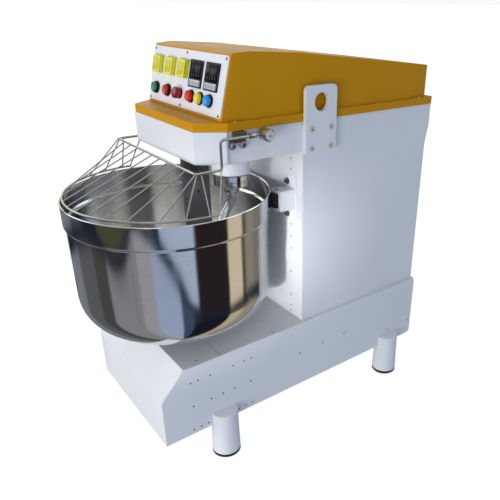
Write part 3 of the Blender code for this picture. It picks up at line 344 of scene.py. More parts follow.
def screw_head(bm, point, axis, radius, height, index=0, recess=1, sides=18):
    """A low domed head with a round driver recess; the disc at the recess floor takes slot recess,
    painted shade where that slot is black.
    """
    m = at(point, axis)
    lathe(bm, [(0, height * 0.40), (radius * 0.42, height * 0.40), (radius * 0.46, height * 0.95),
               (radius * 0.72, height * 0.88), (radius * 0.94, height * 0.50), (radius, 0.0)],
          m, sides, index)
    # disc over the recess floor: where its slot is black, it is painted shade in the recess
    lathe(bm, [(0, height * 0.42), (radius * 0.41, height * 0.42), (radius * 0.41, height * 0.36)],
          m, sides, recess)


def rivets(name, points, axis, radius, height, mats):
    """A row of small rivets on the frame, all facing one way."""
    bm = bmesh.new()
    for p in points:
        screw_head(bm, p, axis, radius, height, sides=RIVET_SIDES)
    return piece(name, bm, mats, "frame", recalc=False)


def on_panel(u, v, w=0.0):
    return PANEL @ Vector((u, v, w))


# ================================================================ painted sheet metal
for node, width in (("base_side_right", 0.0012), ("base_side_left", 0.0012),
                    ("base_deck", 0.0016), ("base_pan", 0.0016),
                    ("body_side_right", 0.0010), ("body_side_left", 0.0010),
                    ("column_front", 0.0010), ("head_nose", 0.0016),
                    ("control_plate", 0.0008), ("lifting_lug_right", 0.0018),
                    ("lifting_lug_left", 0.0018), ("roller_bracket_right", 0.0008),
                    ("roller_bracket_left", 0.0008), ("foot_front_right", 0.0012),
                    ("foot_front_left", 0.0012), ("foot_rear_right", 0.0012),
                    ("foot_rear_left", 0.0012), ("guard_switch", 0.0006),
                    ("timer_1", 0.0010), ("timer_2", 0.0010)):
    refined(node, width)
refined("top_cover", 0.0026, 3)
for i in (1, 2, 3):
    refined(f"flip_cover_{i}", 0.0012)
refined("breaker_post", 0.0006, mat=POST_STEEL)
refined("spindle_housing", 0.0008)

# ================================================================ bowl
BAND_Z, WALL_R, CORNER_R, SHEET = 0.751, 0.294, 0.109, 0.004


def bowl_profile():
    """Closed section of the bowl, outside and then inside."""
    def arc(inset, steps=14):
        r0, z0, r = WALL_R - CORNER_R, FLOOR_Z + CORNER_R, CORNER_R - inset
        return [(r0 + r * math.sin(math.pi / 2 * i / steps),
                 z0 - r * math.cos(math.pi / 2 * i / steps)) for i in range(steps + 1)]

    outer = [(0.0, FLOOR_Z), (0.05, FLOOR_Z), (0.12, FLOOR_Z)] + arc(0.0)
    outer += [(WALL_R, 0.60), (WALL_R, 0.70), (WALL_R, BAND_Z - 0.0080), (WALL_R, BAND_Z - 0.0052),
              (WALL_R + 0.0004, BAND_Z - 0.0044), (BOWL_R - 0.0006, BAND_Z - 0.0006),
              (BOWL_R, BAND_Z + 0.0006), (BOWL_R, BAND_Z + 0.0030), (BOWL_R, 0.78),
              (BOWL_R, RIM_Z - 0.0045), (BOWL_R, RIM_Z - 0.0022),
              (BOWL_R - 0.0005, RIM_Z - 0.0008), (BOWL_R - 0.0016, RIM_Z)]
    inner = [(0.0, FLOOR_Z + SHEET), (0.05, FLOOR_Z + SHEET), (0.12, FLOOR_Z + SHEET)] + arc(SHEET)
    inner += [(WALL_R - SHEET, 0.60), (WALL_R - SHEET, 0.70), (WALL_R - SHEET, BAND_Z - 0.0080),
              (WALL_R - SHEET, BAND_Z - 0.005), (BOWL_R - SHEET - 0.0004, BAND_Z),
              (BOWL_R - SHEET, BAND_Z + 0.001), (BOWL_R - SHEET, BAND_Z + 0.004),
              (BOWL_R - SHEET, RIM_Z - 0.0045), (BOWL_R - SHEET, RIM_Z - 0.0018),
              (BOWL_R - SHEET + 0.0014, RIM_Z)]
    return outer + inner[::-1]


def is_inside(point):
    """True on the bowl's inner surface."""
    r, z = math.hypot(point.x, point.y - BOWL_Y), point.z
    if z > FLOOR_Z + CORNER_R:
        return r < (BOWL_R if z > BAND_Z - 0.002 else WALL_R) - SHEET / 2
    past = max(0.0, r - WALL_R + CORNER_R)
    return math.hypot(past, FLOOR_Z + CORNER_R - z) < CORNER_R - SHEET / 2


bm = bmesh.new()
lathe(bm, bowl_profile(), Matrix.Translation((0, BOWL_Y, 0)), 144)
# inner faces take the brightened copy of the steel: painted light on the bowl's inner surface
for face in bm.faces:
    face.material_index = int(is_inside(face.calc_center_median()))
piece("bowl_shell", bm, [BOWL_STEEL, BOWL_INSIDE_BRIGHTENED], "bowl", ["bowl"])

bm = bmesh.new()
SEAM = math.radians(-46.0)
for r, z0, z1 in ((WALL_R, 0.535, 0.745), (BOWL_R, 0.7535, 0.8120)):
    p = [Vector((r * math.cos(SEAM), BOWL_Y + r * math.sin(SEAM),
                 z0 + (z1 - z0) * i / 12)) for i in range(13)]
    tube(bm, p, 0.00035, 8)
piece("bowl_weld_seam", bm, GREY_STEEL, "bowl")

# ================================================================ spiral
SPIRAL = Vector((sum(span("spindle_shaft", 0)) / 2, sum(span("spindle_shaft", 1)) / 2, 0))
COLLAR_Z = span("spindle_shaft", 2)[0]


def hook_path(count=170):
    """The rod drops from its hub, runs out and down around the axis, and closes in at the foot."""
    path = [Vector((0, 0, 0.826)), Vector((0, 0, 0.812))]
    for i in range(count + 1):
        t = i / count
        grow = math.sin(min(1.0, t / 0.32) * math.pi / 2) ** 1.3
        close = 1.0 - 0.66 * max(0.0, (t - 0.70) / 0.30) ** 1.7
        radius = 0.078 * grow * close
        fall = 1.0 - (1.0 - t) ** 1.25 * (1.0 - 0.12 * math.sin(math.pi * t))
        angle = math.radians(200) + math.tau * 1.5 * t
        path.append(Vector((radius * math.cos(angle), radius * math.sin(angle),
                            0.800 + (0.4435 - 0.800) * fall)))
    return [SPIRAL + p for p in path]


bm = bmesh.new()
tube(bm, hook_path(), 0.0135, 20,
     taper=lambda t: 1.0 - 0.35 * max(0.0, (t - 0.975) / 0.025) ** 2)
lathe(bm, [(0.0, COLLAR_Z - 0.0003), (0.0262, COLLAR_Z - 0.0003), (0.0265, COLLAR_Z - 0.002),
           (0.0235, COLLAR_Z - 0.010), (0.0225, COLLAR_Z - 0.013), (0.0225, 0.819),
           (0.0205, 0.815), (0.0150, 0.8085), (0.0135, 0.806), (0.0, 0.806)],
      Matrix.Translation(SPIRAL), 48)
piece("spiral_rod", bm, POLISHED, "spiral", ["spiral_hook"])

bm = bmesh.new()
lathe(bm, [(0.0503, 0.8560), (0.0507, 0.8564), (0.0507, 0.8572), (0.0503, 0.8576)],
      Matrix.Translation(SPIRAL), 64)
for k in range(2):
    a = math.radians(-58 + 180 * k)
    d = Vector((math.cos(a), math.sin(a), 0))
    screw_head(bm, SPIRAL + d * 0.0225 + Vector((0, 0, 0.825)), d, 0.0045, 0.0016, 0, 0)
piece("collar_ring", bm, DARK_STEEL, "spiral", recalc=False)

# black ring in the gap between the housing and the collar: painted shade for the dark gap
bm = bmesh.new()
lathe(bm, [(0.0256, 0.8762), (0.0475, 0.8762), (0.0480, 0.8767), (0.0480, 0.8774),
           (0.0256, 0.8774)], Matrix.Translation(SPIRAL), 56)
piece("spindle_gap_shade", bm, RUBBER, "frame")

# ================================================================ guard
ARM_X, BAR_Y, BAR_Z = 0.2513, BOWL_Y - 0.036, 0.9274
ELBOW_Y, ARM_Z, PIVOT_Y = BOWL_Y + 0.041, 1.0035, BOWL_Y + 0.1755
RING_R, RING_Z = 0.290, 0.8246
FRAME_R, WIRE_R = 0.0036, 0.0019


def bent(points, radius, steps=8):
    """A path through points, with each corner rounded."""
    path = [Vector(points[0])]
    for last, here, after in zip(points, points[1:], points[2:]):
        here = Vector(here)
        back, ahead = (Vector(last) - here).normalized(), (Vector(after) - here).normalized()
        half = back.angle(ahead) / 2
        centre = here + (back + ahead).normalized() * (radius / math.sin(half))
        first = here + back * (radius / math.tan(half)) - centre
        final = here + ahead * (radius / math.tan(half)) - centre
        path += [centre + first.slerp(final, k / steps).normalized() * radius
                 for k in range(steps + 1)]
    return path + [Vector(points[-1])]


def ring_point(angle):
    return Vector((RING_R * math.cos(angle), BOWL_Y + RING_R * math.sin(angle), RING_Z))


bm = bmesh.new()
arm = [(ARM_X, PIVOT_Y - 0.0105, ARM_Z), (ARM_X, ELBOW_Y, ARM_Z), (ARM_X, ELBOW_Y, BAR_Z),
       (ARM_X, BAR_Y, BAR_Z)]
mirror = [(-x, y, z) for x, y, z in arm]
tube(bm, bent(arm + mirror[::-1], 0.009), FRAME_R, 16)
end = math.radians(1.1)
tube(bm, [ring_point(end - (math.pi + 2 * end) * i / 120) for i in range(121)],
     FRAME_R - 0.0006, 14)
GUARD_RODS = 11
rods = []
for i in range(GUARD_RODS):
    x = ARM_X * (1 - i / 5)
    rods.append((Vector((x, BAR_Y, BAR_Z)),
                 Vector((x, BOWL_Y - math.sqrt(RING_R ** 2 - x ** 2), RING_Z))))
for sign in (1, -1):
    for start, degrees in ((0.004, -17.0), (0.016, -4.4)):
        p = ring_point(math.radians(degrees))
        rods.append((Vector((sign * ARM_X, BAR_Y + start, BAR_Z)), Vector((sign * p.x, p.y, p.z))))
    p = ring_point(end - 0.004)
    rods.append((Vector((sign * ARM_X, ELBOW_Y - 0.002, BAR_Z + 0.001)),
                 Vector((sign * p.x, p.y, p.z))))
for a, b in rods:
    tube(bm, [a.lerp(b, k / 4) for k in range(5)], WIRE_R, 10)
    for p, r in ((a, FRAME_R * 1.04), (b, FRAME_R * 0.88)):
        bmesh.ops.create_icosphere(bm, subdivisions=2, radius=r,
                                   matrix=Matrix.Translation(p) @ Matrix.Diagonal((1, 1, 0.86, 1)))
for sign in (1, -1):
    side = Matrix.Diagonal((sign, 1, 1, 1))
    lathe(bm, [(0.0064, 0.2445), (0.0160, 0.2445), (0.0172, 0.2455), (0.0172, 0.2742),
               (0.0162, 0.2755), (0.0064, 0.2755)],
          side @ Matrix.Translation((0, PIVOT_Y, ARM_Z)) @ basis((1, 0, 0)), 48)
    lathe(bm, [(0.0, 0.0), (0.0070, 0.0), (0.0078, 0.0008), (0.0078, 0.0182), (0.0070, 0.019),
               (0.0, 0.019)], at((sign * ARM_X, PIVOT_Y - 0.047, ARM_Z), (0, 1, 0)), 28)
piece("guard_wires", bm, WIRE, "guard", ["bowl_guard"], angle=50)

for name, sign in (("right", 1), ("left", -1)):
    d = Vector((sign, 0, 0))
    start = span("guard_pin_right", 0)[0]
    bm = bmesh.new()
    lathe(bm, [(0.0, 0.0), (0.0060, 0.0), (0.0060, BODY_X + 0.0003 - start),
               (0.0110, BODY_X + 0.0003 - start), (0.0110, 0.2442 - start),
               (0.0060, 0.2442 - start), (0.0060, 0.2758 - start), (0.0136, 0.2758 - start),
               (0.0142, 0.2763 - start), (0.0142, 0.2774 - start), (0.0136, 0.2780 - start),
               (0.0, 0.2780 - start)], at((sign * start, PIVOT_Y, ARM_Z), d), 48)
    piece(f"pivot_pin_{name}", bm, POLISHED, "frame", [f"guard_pin_{name}"])
    bm = bmesh.new()
    lathe(bm, [(0.0, 0.0), (0.0122, 0.0), (0.0128, 0.0005), (0.0128, 0.0013), (0.0122, 0.0018),
               (0.0, 0.0018)], at((sign * 0.2780, PIVOT_Y, ARM_Z), d), 48)
    # the screw's recess takes the black slot: painted shade in the recess
    screw_head(bm, (sign * 0.2797, PIVOT_Y, ARM_Z), d, 0.0036, 0.0016, 1, 2, 20)
    piece(f"pivot_cap_{name}", bm, [WASHER, SCREW, BLACK], "frame", recalc=False)

# the two cap screws of the guard's switch, on round washers
bm = bmesh.new()
for y in (BOWL_Y + 0.0862, BOWL_Y + 0.1182):
    m = at((BODY_X, y, ARM_Z - 0.025), (1, 0, 0))
    lathe(bm, [(0.0, 0.0044), (0.0088, 0.0044), (0.0092, 0.0048), (0.0092, 0.0056),
               (0.0088, 0.0060), (0.0, 0.0060)], m, 32, 0)
    lathe(bm, [(0.0, 0.0108), (0.0026, 0.0108), (0.0030, 0.0122), (0.0056, 0.0122),
               (0.0070, 0.0112), (0.0074, 0.0094), (0.0074, 0.0058)], m, 32, 0)
    # black hex socket: painted shade in the socket
    lathe(bm, [(0.0, 0.0110), (0.0026, 0.0110), (0.0026, 0.0102)], m, 6, 1)
piece("switch_bolt_faces", bm, [POLISHED, BLACK], "frame", recalc=False)

# ================================================================ control panel
def panel_at(u, v, w=0.0):
    return PANEL @ Matrix.Translation((u, v, w))


BUTTON_V = 0.0378
BUTTONS = {"button_green": -0.168, "button_red_guarded": -0.092, "button_stop": -0.019,
           "button_red": 0.049, "button_yellow": 0.100, "button_blue": 0.150}
REST = PANEL_T + 0.0048
for node, u in BUTTONS.items():
    stop = node == "button_stop"
    r, top = (0.0160, 0.021) if stop else (0.0145, 0.015)
    top += PANEL_T
    if stop:
        shape = [(0, -0.020), (0.0100, -0.020), (0.0100, REST), (r - 0.0016, REST),
                 (r - 0.0006, REST + 0.0008), (r, REST + 0.0040), (r, top - 0.0036),
                 (r - 0.0008, top - 0.0018), (r - 0.0026, top - 0.0007), (0.007, top - 0.0001),
                 (0, top + 0.0002)]
    else:
        shape = [(0, -0.020), (0.0100, -0.020), (0.0100, REST), (r - 0.0004, REST),
                 (r, REST + 0.0004), (r, top - 0.0024), (r - 0.0008, top - 0.0009),
                 (r - 0.0024, top - 0.0002), (r - 0.0046, top - 0.0010), (0.004, top - 0.0012),
                 (0, top - 0.0012)]
    bm = bmesh.new()
    lathe(bm, shape, panel_at(u, BUTTON_V), 44)
    piece(node + "_cap", bm, CAPS[node], node, [node])

bm = bmesh.new()
for node, u in BUTTONS.items():
    if node == "button_stop":
        lathe(bm, [(0.0106, PANEL_T + 0.0001), (0.0152, PANEL_T + 0.0001),
                   (0.0152, PANEL_T + 0.0004), (0.0148, PANEL_T + 0.0006),
                   (0.0106, PANEL_T + 0.0006)], panel_at(u, BUTTON_V), 44)
        continue
    r = 0.0151
    tall = 0.0118 if node in ("button_green", "button_red_guarded") else 0.0085
    lathe(bm, [(r, PANEL_T + 0.0001), (r + 0.0024, PANEL_T + 0.0001),
               (r + 0.0024, PANEL_T + 0.0024), (r + 0.0016, tall - 0.0008),
               (r + 0.0010, tall), (r + 0.0003, tall), (r, tall - 0.0006)],
          panel_at(u, BUTTON_V), 44)
piece("button_bezels", bm, BLACK, "frame")

FLIPS = {1: -0.167, 2: -0.087, 3: -0.009}
FLIP_V, FLIP_TOP, FLIP_FACE = 0.1045, 0.1285, PANEL_T + 0.001 + 0.013
for i, u in FLIPS.items():
    bm = bmesh.new()
    lathe(bm, [(0, -0.020), (0.0100, -0.020), (0.0100, REST), (0.0131, REST),
               (0.0135, REST + 0.0005), (0.0135, 0.0126), (0.0126, 0.0140), (0.0095, 0.0144),
               (0.0085, 0.0136), (0, 0.0134)],
          panel_at(u, FLIP_V - 0.001), 36)
    piece(f"start_cap_{i}", bm, BLACK, f"start_button_{i}",
          [f"start_button_{i}"])
    # raised centre and hinge barrel of the flip cover, with the two ears that carry it
    bm = bmesh.new()
    block(bm, (u - 0.0150, FLIP_V - 0.0165, FLIP_FACE - 0.0004),
          (u + 0.0150, FLIP_V + 0.0155, FLIP_FACE + 0.0012), PANEL, 0.0011)
    lathe(bm, [(0, -0.0222), (0.0019, -0.0222), (0.0023, -0.0218), (0.0023, 0.0218),
               (0.0019, 0.0222), (0, 0.0222)],
          PANEL @ Matrix.Translation((u, FLIP_TOP, PANEL_T + 0.0040)) @ basis((1, 0, 0)), 16)
    piece(f"flip_centre_{i}", bm, FLIP_INNER, f"flip_cover_{i}")
    bm = bmesh.new()
    for du in (-0.0242, 0.0242):
        block(bm, (u + du - 0.0013, FLIP_TOP - 0.0030, PANEL_T),
              (u + du + 0.0013, FLIP_TOP + 0.0026, PANEL_T + 0.0064), PANEL, 0.0008)
    piece(f"flip_hinge_{i}", bm, FLIP_INNER, "frame")

# timers: window, dim segments and a keypad strip with four plain keys
TIMERS = {1: 0.0600, 2: 0.1460}
TIMER_V = 0.0980
TIMER_FACE_W = 0.0062    # front of the timer's bezel
for i, u in TIMERS.items():
    w = TIMER_FACE_W
    bm = bmesh.new()
    block(bm, (u - 0.0315, TIMER_V - 0.0125, w - 0.0003),
          (u + 0.0315, TIMER_V + 0.0315, w + 0.0006), PANEL, 0.0005, 0)
    block(bm, (u - 0.0300, TIMER_V - 0.0320, w - 0.0003),
          (u + 0.0300, TIMER_V - 0.0155, w + 0.0006), PANEL, 0.0005, 1)
    for k in range(4):
        x = u - 0.0218 + 0.0145 * k
        block(bm, (x - 0.0048, TIMER_V - 0.0290, w + 0.0004),
              (x + 0.0048, TIMER_V - 0.0205, w + 0.0012), PANEL, 0.0004, 2)
    for v, h in ((TIMER_V + 0.0165, 0.0105), (TIMER_V - 0.0035, 0.0070)):
        for k in range(4):
            x, hw = u - 0.0195 + 0.0130 * k, h * 0.26
            for lo, hi in (((-hw, -0.0005), (hw, 0.0005)), ((-hw, h / 2 - 0.001), (hw, h / 2)),
                           ((-hw, -h / 2), (hw, -h / 2 + 0.001)),
                           ((-hw, -h / 2), (-hw + 0.001, h / 2)),
                           ((hw - 0.001, -h / 2), (hw, h / 2))):
                block(bm, (x + lo[0], v + lo[1], w + 0.0005), (x + hi[0], v + hi[1], w + 0.00075),
                      PANEL, 0.0, 3)
    piece(f"timer_face_{i}", bm, [DISPLAY, KEYPAD, KEY, SEGMENT], "frame")

bm = bmesh.new()
normal = PANEL.to_3x3() @ Vector((0, 0, 1))
for u, v in ((0.204, 0.149), (-0.204, 0.149), (-0.005, 0.149), (0.204, 0.007), (-0.204, 0.007),
             (-0.010, 0.007)):
    # the screws' recesses take the black slot: painted shade in the recesses
    screw_head(bm, on_panel(u, v, PANEL_T), normal, 0.0042, 0.0022, 0, 1, 20)
piece("panel_screws", bm, [SCREW, BLACK], "frame", recalc=False)

# ================================================================ fasteners
SIDE_RIVETS = [(0.309, y) for y in (-0.389, -0.364, -0.3235, -0.243, -0.2025, -0.1765)]
SIDE_RIVETS += [(0.2223, y) for y in (-0.3855, -0.3246, -0.2836, -0.2431, -0.182)]
SIDE_RIVETS += [(0.135, y) for y in (-0.3907, -0.3652, -0.3397, -0.2288, -0.2036, -0.178)]
SIDE_RIVETS += [(0.2463, 0.0175), (0.2475, 0.1180), (0.2487, 0.2181), (0.1751, 0.4503),
                (0.1777, 0.5643)]
# rivet recesses take the black slot: painted shade in the recesses
for name, sign in (("right", 1), ("left", -1)):
    rivets(f"base_rivets_{name}", [(sign * SIDE_X, y, z) for z, y in SIDE_RIVETS], (sign, 0, 0),
           0.0028, 0.0013, [DARK_SCREW, BLACK])
    rivets(f"column_rivets_{name}", [(sign * 0.170, COL_FRONT, z) for z in
                                     (0.899, 0.866, 0.688, 0.647, 0.605, 0.522, 0.437, 0.395,
                                      0.374)], (0, -1, 0), 0.0028, 0.0013, [DARK_SCREW, BLACK])

DECK = [(0.222, -0.355), (0.235, -0.281), (0.223, -0.178), (0.233, -0.085), (0.144, -0.083),
        (0.0695, -0.002), (0.2226, -0.003), (0.2327, 0.067)]
DECK += [(-x, y) for x, y in DECK]
rivets("deck_rivets", [(x, y, DECK_Z) for x, y in DECK], (0, 0, 1), 0.0030, 0.0013,
       [SCREW, SCREW])

bm = bmesh.new()
for sign in (1, -1):
    for y in (BOWL_Y + 0.3419, BOWL_Y + 0.4131):
        for z in (0.9956, 0.9403):
            m = at((sign * LUG_X, y, z), (sign, 0, 0))
            lathe(bm, [(0.0, 0.0), (0.0092, 0.0), (0.0097, 0.0003), (0.0097, 0.0009),
                       (0.0092, 0.0013), (0.0, 0.0013)], m, 32, 0)
            # the screw's recess takes the black slot: painted shade in the recess
            screw_head(bm, (sign * (LUG_X + 0.0012), y, z), (sign, 0, 0), 0.0038, 0.0018, 1, 2, 18)
piece("lug_fasteners", bm, [WASHER, SCREW, BLACK], "frame", recalc=False)

# screws of the cover's flange; their black recesses are painted shade
bm = bmesh.new()
for sign in (1, -1):
    for y in (-0.190, 0.105, 0.330, 0.520):
        screw_head(bm, (sign * 0.2284, y, FLANGE_Z), (0, 0, 1), 0.0034, 0.0022, 0, 1, 18)
piece("cover_screws", bm, [SCREW, BLACK], "frame", recalc=False)

# roller axles, bracket bolts and washers
bm = bmesh.new()
for sign in (1, -1):
    rx, ry = span("bowl_roller_right", 0), span("bowl_roller_right", 1)
    centre = (sign * sum(rx) / 2, sum(ry) / 2)
    screw_head(bm, (*centre, 0.8100), (0, 0, 1), 0.0062, 0.0026, 0, 1, 24)
    for z in (0.7220, 0.8270):
        front = COL_FRONT - 0.0043
        lathe(bm, [(0.0, 0.0), (0.0098, 0.0), (0.0102, 0.0003), (0.0102, 0.0012),
                   (0.0098, 0.0015), (0.0, 0.0015)],
              at((sign * 0.158, front, z), (0, -1, 0)), 28, 0)
        lathe(bm, [(0.0, 0.0084), (0.0026, 0.0084), (0.0030, 0.0088), (0.0060, 0.0084),
                   (0.0074, 0.0070), (0.0076, 0.0)],
              at((sign * 0.158, front, z), (0, -1, 0)), 28, 0)
        # black hex socket: painted shade in the socket
        lathe(bm, [(0.0, 0.0089), (0.0026, 0.0089), (0.0026, 0.0080)],
              at((sign * 0.158, front, z), (0, -1, 0)), 6, 1)
piece("bracket_fasteners", bm, [DARK_SCREW, BLACK], "frame", recalc=False)

# small marks of the breaker post's bolts; their black recesses are painted shade
bm = bmesh.new()
for x, d in ((0.0150, 1), (-0.0075, -1)):
    for z in (0.868, 0.800):
        screw_head(bm, (x, BOWL_Y + 0.090, z), (d, 0, 0), 0.0046, 0.0014, 0, 1, 20)
piece("post_bolts", bm, [DARK_SCREW, BLACK], "frame", recalc=False)

# joint in the deck sheet beside the bowl
bm = bmesh.new()
for sign in (1, -1):
    block(bm, (min(sign * 0.1446, sign * 0.2380), -0.2829, DECK_Z - 0.0003),
          (max(sign * 0.1446, sign * 0.2380), -0.2822, DECK_Z + 0.0002))
piece("deck_joint", bm, DARK_SCREW, "frame")

# ================================================================ rear wall
REAR_Y = span("base_pan", 1)[1]
DOOR_Y = 0.5725
bm = bmesh.new()
for x0 in (-0.155, 0.065):
    for k in range(8):
        z = 0.470 + 0.020 * k
        lip = [(0.0, 0.0085), (0.0030, 0.0080), (0.0052, 0.0060), (0.0060, 0.0030),
               (0.0060, -0.0005), (0.0050, -0.0005), (0.0045, 0.0025), (0.0036, 0.0048),
               (0.0020, 0.0066), (0.0, 0.0072)]
        ends = []
        for x in (x0 - 0.001, x0 + 0.091):
            ends.append([bm.verts.new((x, DOOR_Y + 0.0001 + y, z + 0.002 + h)) for y, h in lip])
        for k2 in range(len(lip)):
            j = (k2 + 1) % len(lip)
            bm.faces.new((ends[0][k2], ends[0][j], ends[1][j], ends[1][k2]))
        bm.faces.new(ends[0])
        bm.faces.new(ends[1][::-1])
piece("louvre_hoods", bm, WHITE, "frame")

# screws of the rear door and wall; their black recesses are painted shade
bm = bmesh.new()
for sign in (1, -1):
    for z in (0.385, 0.600, 0.840):
        screw_head(bm, (sign * 0.212, DOOR_Y, z), (0, 1, 0), 0.0044, 0.0024, 0, 1, 20)
    for z in (0.150, 0.330):
        screw_head(bm, (sign * 0.225, REAR_Y, z), (0, 1, 0), 0.0044, 0.0024, 0, 1, 20)
piece("rear_screws", bm, [SCREW, BLACK], "frame", recalc=False)

# gland nut and seal at the cable inlet
bm = bmesh.new()
lathe(bm, [(0.0, 0.0), (0.0112, 0.0), (0.0118, 0.0006), (0.0118, 0.0060), (0.0096, 0.0085),
           (0.0070, 0.0092), (0.0062, 0.0080), (0.0062, 0.0040), (0.0, 0.0040)],
      at((0.150, REAR_Y + 0.0112, 0.200), (0, 1, 0)), 28)
piece("gland_nut", bm, BLACK, "frame")

# ================================================================ floor, light and camera
floor_look = Look("studio_floor", (0.46, 0.46, 0.46), 0.9)
floor_look.tint(floor_look.ranged(floor_look.noise(1.3, 2.0), 0.3, 0.7, 0.0, 0.3),
                (0.45, 0.45, 0.452))
floor_look.shader.inputs["Emission Color"].default_value = (1.0, 1.0, 1.0, 1.0)
floor_look.shader.inputs["Emission Strength"].default_value = 0.79
bm = bmesh.new()
bmesh.ops.create_grid(bm, x_segments=8, y_segments=8, size=400.0)
mesh = bpy.data.meshes.new("studio_floor")
bm.to_mesh(mesh)
bm.free()
mesh.materials.append(floor_look.mat)
floor = bpy.data.objects.new("studio_floor", mesh)
bpy.context.scene.collection.objects.link(floor)
floor.visible_glossy = False
floor.visible_diffuse = False


def area_light(name, place, aim, size, power, colour=(1, 1, 1), spread=180.0):
    light = bpy.data.lights.new(name, "AREA")
    light.shape = "RECTANGLE"
    light.size, light.size_y = size
    light.energy = power
    light.color = colour
    light.spread = math.radians(spread)
    obj = bpy.data.objects.new(name, light)
    obj.matrix_world = Matrix.Translation(Vector(place)) @ (
        Vector(place) - Vector(aim)).to_track_quat("Z", "Y").to_matrix().to_4x4()
    obj.visible_glossy = False
    bpy.context.scene.collection.objects.link(obj)


area_light("front_key", (2.20, -3.70, 0.62), (0.1, -0.1, 0.66), (1.5, 1.5), 66.0,
           (1.0, 0.995, 0.985))
area_light("left_front", (-0.30, -3.90, 0.80), (0, -0.1, 0.70), (2.0, 1.5), 42.0,
           (1.0, 0.99, 0.98))
area_light("column_strip", (1.66, -2.55, 0.62), (0.02, -0.02, 0.64), (0.3, 0.3), 0.85,
           spread=11.0)


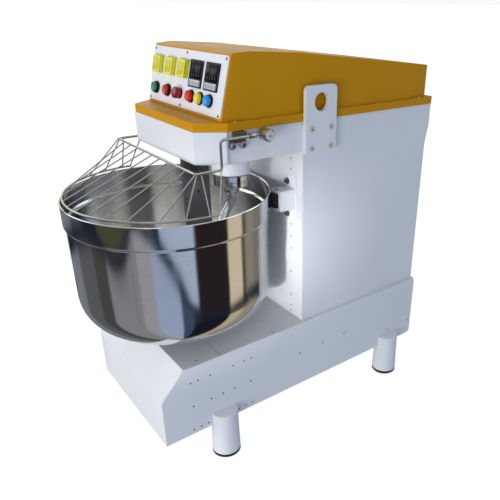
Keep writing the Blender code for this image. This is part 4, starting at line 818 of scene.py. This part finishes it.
def studio_world():
    """Pale surroundings; polished metal mirrors tall dark and light flats round the machine."""
    world = bpy.data.worlds.new("studio")
    bpy.context.scene.world = world
    world.use_nodes = True
    tree = world.node_tree
    new, link = tree.nodes.new, tree.links.new

    def ramp(value, stops, smooth="LINEAR"):
        made = new("ShaderNodeValToRGB")
        made.color_ramp.interpolation = smooth
        elements = made.color_ramp.elements
        while len(elements) > 1:
            elements.remove(elements[-1])
        elements[0].position = stops[0][0]
        elements[0].color = (*stops[0][1], 1)
        for place, colour in stops[1:]:
            elements.new(place).color = (*colour, 1)
        link(value, made.inputs[0])
        return made.outputs[0]

    def math_node(kind, a, b=None):
        made = new("ShaderNodeMath")
        made.operation = kind
        for socket, value in zip(made.inputs, (a, b)):
            if isinstance(value, bpy.types.NodeSocket):
                link(value, socket)
            elif value is not None:
                socket.default_value = value
        return made.outputs[0]

    def mix(factor, a, b):
        made = new("ShaderNodeMix")
        made.data_type = "RGBA"
        link(factor, made.inputs[0])
        for socket, value in ((made.inputs[6], a), (made.inputs[7], b)):
            if isinstance(value, bpy.types.NodeSocket):
                link(value, socket)
            else:
                socket.default_value = (*value, 1)
        return made.outputs[2]

    direction = new("ShaderNodeTexCoord").outputs["Generated"]
    parts = new("ShaderNodeSeparateXYZ")
    link(direction, parts.inputs[0])
    x, y, z = parts.outputs
    turn = math_node("ARCTAN2", y, x)
    around = math_node("ADD", math_node("DIVIDE", turn, math.tau), 0.5)

    def flats(stops):
        """Stops of (azimuth in degrees, colour), each held to the next with a short blend."""
        blend = 0.0035
        out = []
        for k, (degrees, colour) in enumerate(stops):
            place = (degrees + 180) / 360
            if k:
                out.append((place - blend, stops[k - 1][1]))
                out.append((place + blend, colour))
            else:
                out.append((place, colour))
        return out

    high = ramp(around, flats([
        (-180, (0.20, 0.21, 0.24)), (-150, (0.10, 0.105, 0.115)), (-128, (0.022, 0.022, 0.024)),
        (-108, (0.066, 0.076, 0.040)), (-68, (0.030, 0.030, 0.032)), (-52, (0.20, 0.19, 0.18)),
        (-46, (0.020, 0.030, 0.070)), (-38, (0.42, 0.50, 0.66)), (-2, (0.022, 0.016, 0.018)),
        (38, (0.66, 0.58, 0.42)), (58, (0.10, 0.09, 0.07)), (64, (0.27, 0.25, 0.20)),
        (78, (0.21, 0.20, 0.17)), (96, (0.27, 0.26, 0.22)), (120, (0.20, 0.21, 0.23))]))
    low = ramp(around, flats([
        (-180, (0.20, 0.21, 0.24)), (-150, (0.11, 0.115, 0.125)), (-122, (0.07, 0.068, 0.066)),
        (-104, (0.25, 0.25, 0.27)), (-66, (0.34, 0.34, 0.38)), (-50, (0.34, 0.41, 0.57)),
        (-22, (0.05, 0.07, 0.13)), (-8, (0.010, 0.011, 0.020)),
        (38, (0.50, 0.44, 0.31)), (60, (0.33, 0.30, 0.23)),
        (84, (0.24, 0.23, 0.20)), (120, (0.20, 0.21, 0.23))]))
    # the two bands meet in an arch, then along a dark line that falls towards the right
    depths = ((-180, 0.37), (-130, 0.35), (-110, 0.36), (-100, 0.40), (-90, 0.415), (-80, 0.405),
              (-71, 0.36), (-66, 0.335), (-52, 0.355), (-36, 0.40), (-20, 0.455), (-8, 0.515),
              (20, 0.56), (45, 0.53), (70, 0.50), (180, 0.42))
    depth = ramp(around, [((d + 180) / 360, (v, v, v)) for d, v in depths], "B_SPLINE")
    above_line = math_node("ADD", z, depth)

    def smooth_step(value, low, high):
        made = new("ShaderNodeMapRange")
        made.interpolation_type = "SMOOTHSTEP"
        link(value, made.inputs[0])
        made.inputs[1].default_value = low
        made.inputs[2].default_value = high
        return made.outputs[0]

    mirrored = mix(smooth_step(above_line, -0.010, 0.010), low, high)
    beside = smooth_step(math_node("ABSOLUTE", above_line), 0.030, 0.008)
    mirrored = mix(beside, mirrored, (0.014, 0.018, 0.034))
    # rays that leave the bowl upwards meet softer, paler flats, and plain grey overhead
    above = ramp(around, flats([
        (-180, (1.53, 1.43, 1.19)), (-165, (0.34, 0.32, 0.32)), (-155, (2.21, 2.31, 2.41)),
        (-140, (0.94, 1.22, 1.67)), (-118, (0.34, 0.36, 0.42)), (-90, (0.34, 0.41, 0.20)),
        (-62, (1.05, 1.02, 1.02)), (-35, (0.34, 0.32, 0.36)), (-12, (0.71, 0.77, 0.61)),
        (15, (0.41, 0.39, 0.41)), (30, (1.87, 1.73, 1.43)), (55, (0.51, 0.48, 0.46)),
        (70, (2.21, 2.28, 2.31)), (90, (1.02, 1.33, 1.78)), (110, (0.37, 0.37, 0.44)),
        (136, (1.36, 1.26, 1.02))]))
    lift = ramp(math_node("MAXIMUM", z, 0.0),
                [(0.0, (0, 0, 0)), (0.03, (0, 0, 0)), (0.10, (1, 1, 1))])
    mirrored = mix(lift, mirrored, above)
    up = ramp(math_node("MAXIMUM", z, 0.0),
              [(0.0, (0, 0, 0)), (0.55, (0, 0, 0)), (0.85, (1, 1, 1))])
    mirrored = mix(up, mirrored, (0.56, 0.57, 0.60))

    ambient = ramp(math_node("ADD", math_node("MULTIPLY", z, 0.5), 0.5),
                   [(0.0, (0.80, 0.81, 0.83)), (0.5, (0.50, 0.51, 0.53)),
                    (0.66, (0.38, 0.385, 0.395)), (1.0, (0.68, 0.67, 0.65))])
    rightward = ramp(math_node("MAXIMUM", x, 0.0), [(0.0, (0, 0, 0)), (0.85, (1, 1, 1))])
    ambient = mix(rightward, ambient, (0.29, 0.36, 0.48))
    path = new("ShaderNodeLightPath")
    colour = mix(path.outputs["Is Glossy Ray"], ambient, mirrored)
    colour = mix(path.outputs["Is Camera Ray"], colour, (0.955, 0.955, 0.957))
    link(colour, tree.nodes["Background"].inputs[0])


studio_world()


def make_camera():
    """The camera at the photograph's viewing angle."""
    yaw, pitch, roll = (math.radians(a) for a in (51.1708, 25.7180, 0.7884))
    ahead = Vector((-math.sin(yaw) * math.cos(pitch), math.cos(yaw) * math.cos(pitch),
                    -math.sin(pitch)))
    right = Vector((math.cos(yaw), math.sin(yaw), 0))
    up = right.cross(ahead)
    across = math.cos(roll) * right + math.sin(roll) * up
    upward = math.cos(roll) * up - math.sin(roll) * right
    turn = Matrix((across, upward, -ahead)).transposed().to_4x4()
    data = bpy.data.cameras.new("photo_view")
    data.sensor_width = 36.0
    data.lens = 39.805
    data.shift_x, data.shift_y = -0.1160, 0.0349
    camera = bpy.data.objects.new("photo_view", data)
    camera.matrix_world = Matrix.Translation((1.478125, -0.945698, 1.322918)) @ turn
    bpy.context.scene.collection.objects.link(camera)
    bpy.context.scene.camera = camera


make_camera()
bpy.context.scene.view_settings.view_transform = "Standard"
bpy.context.scene.view_settings.look = "None"
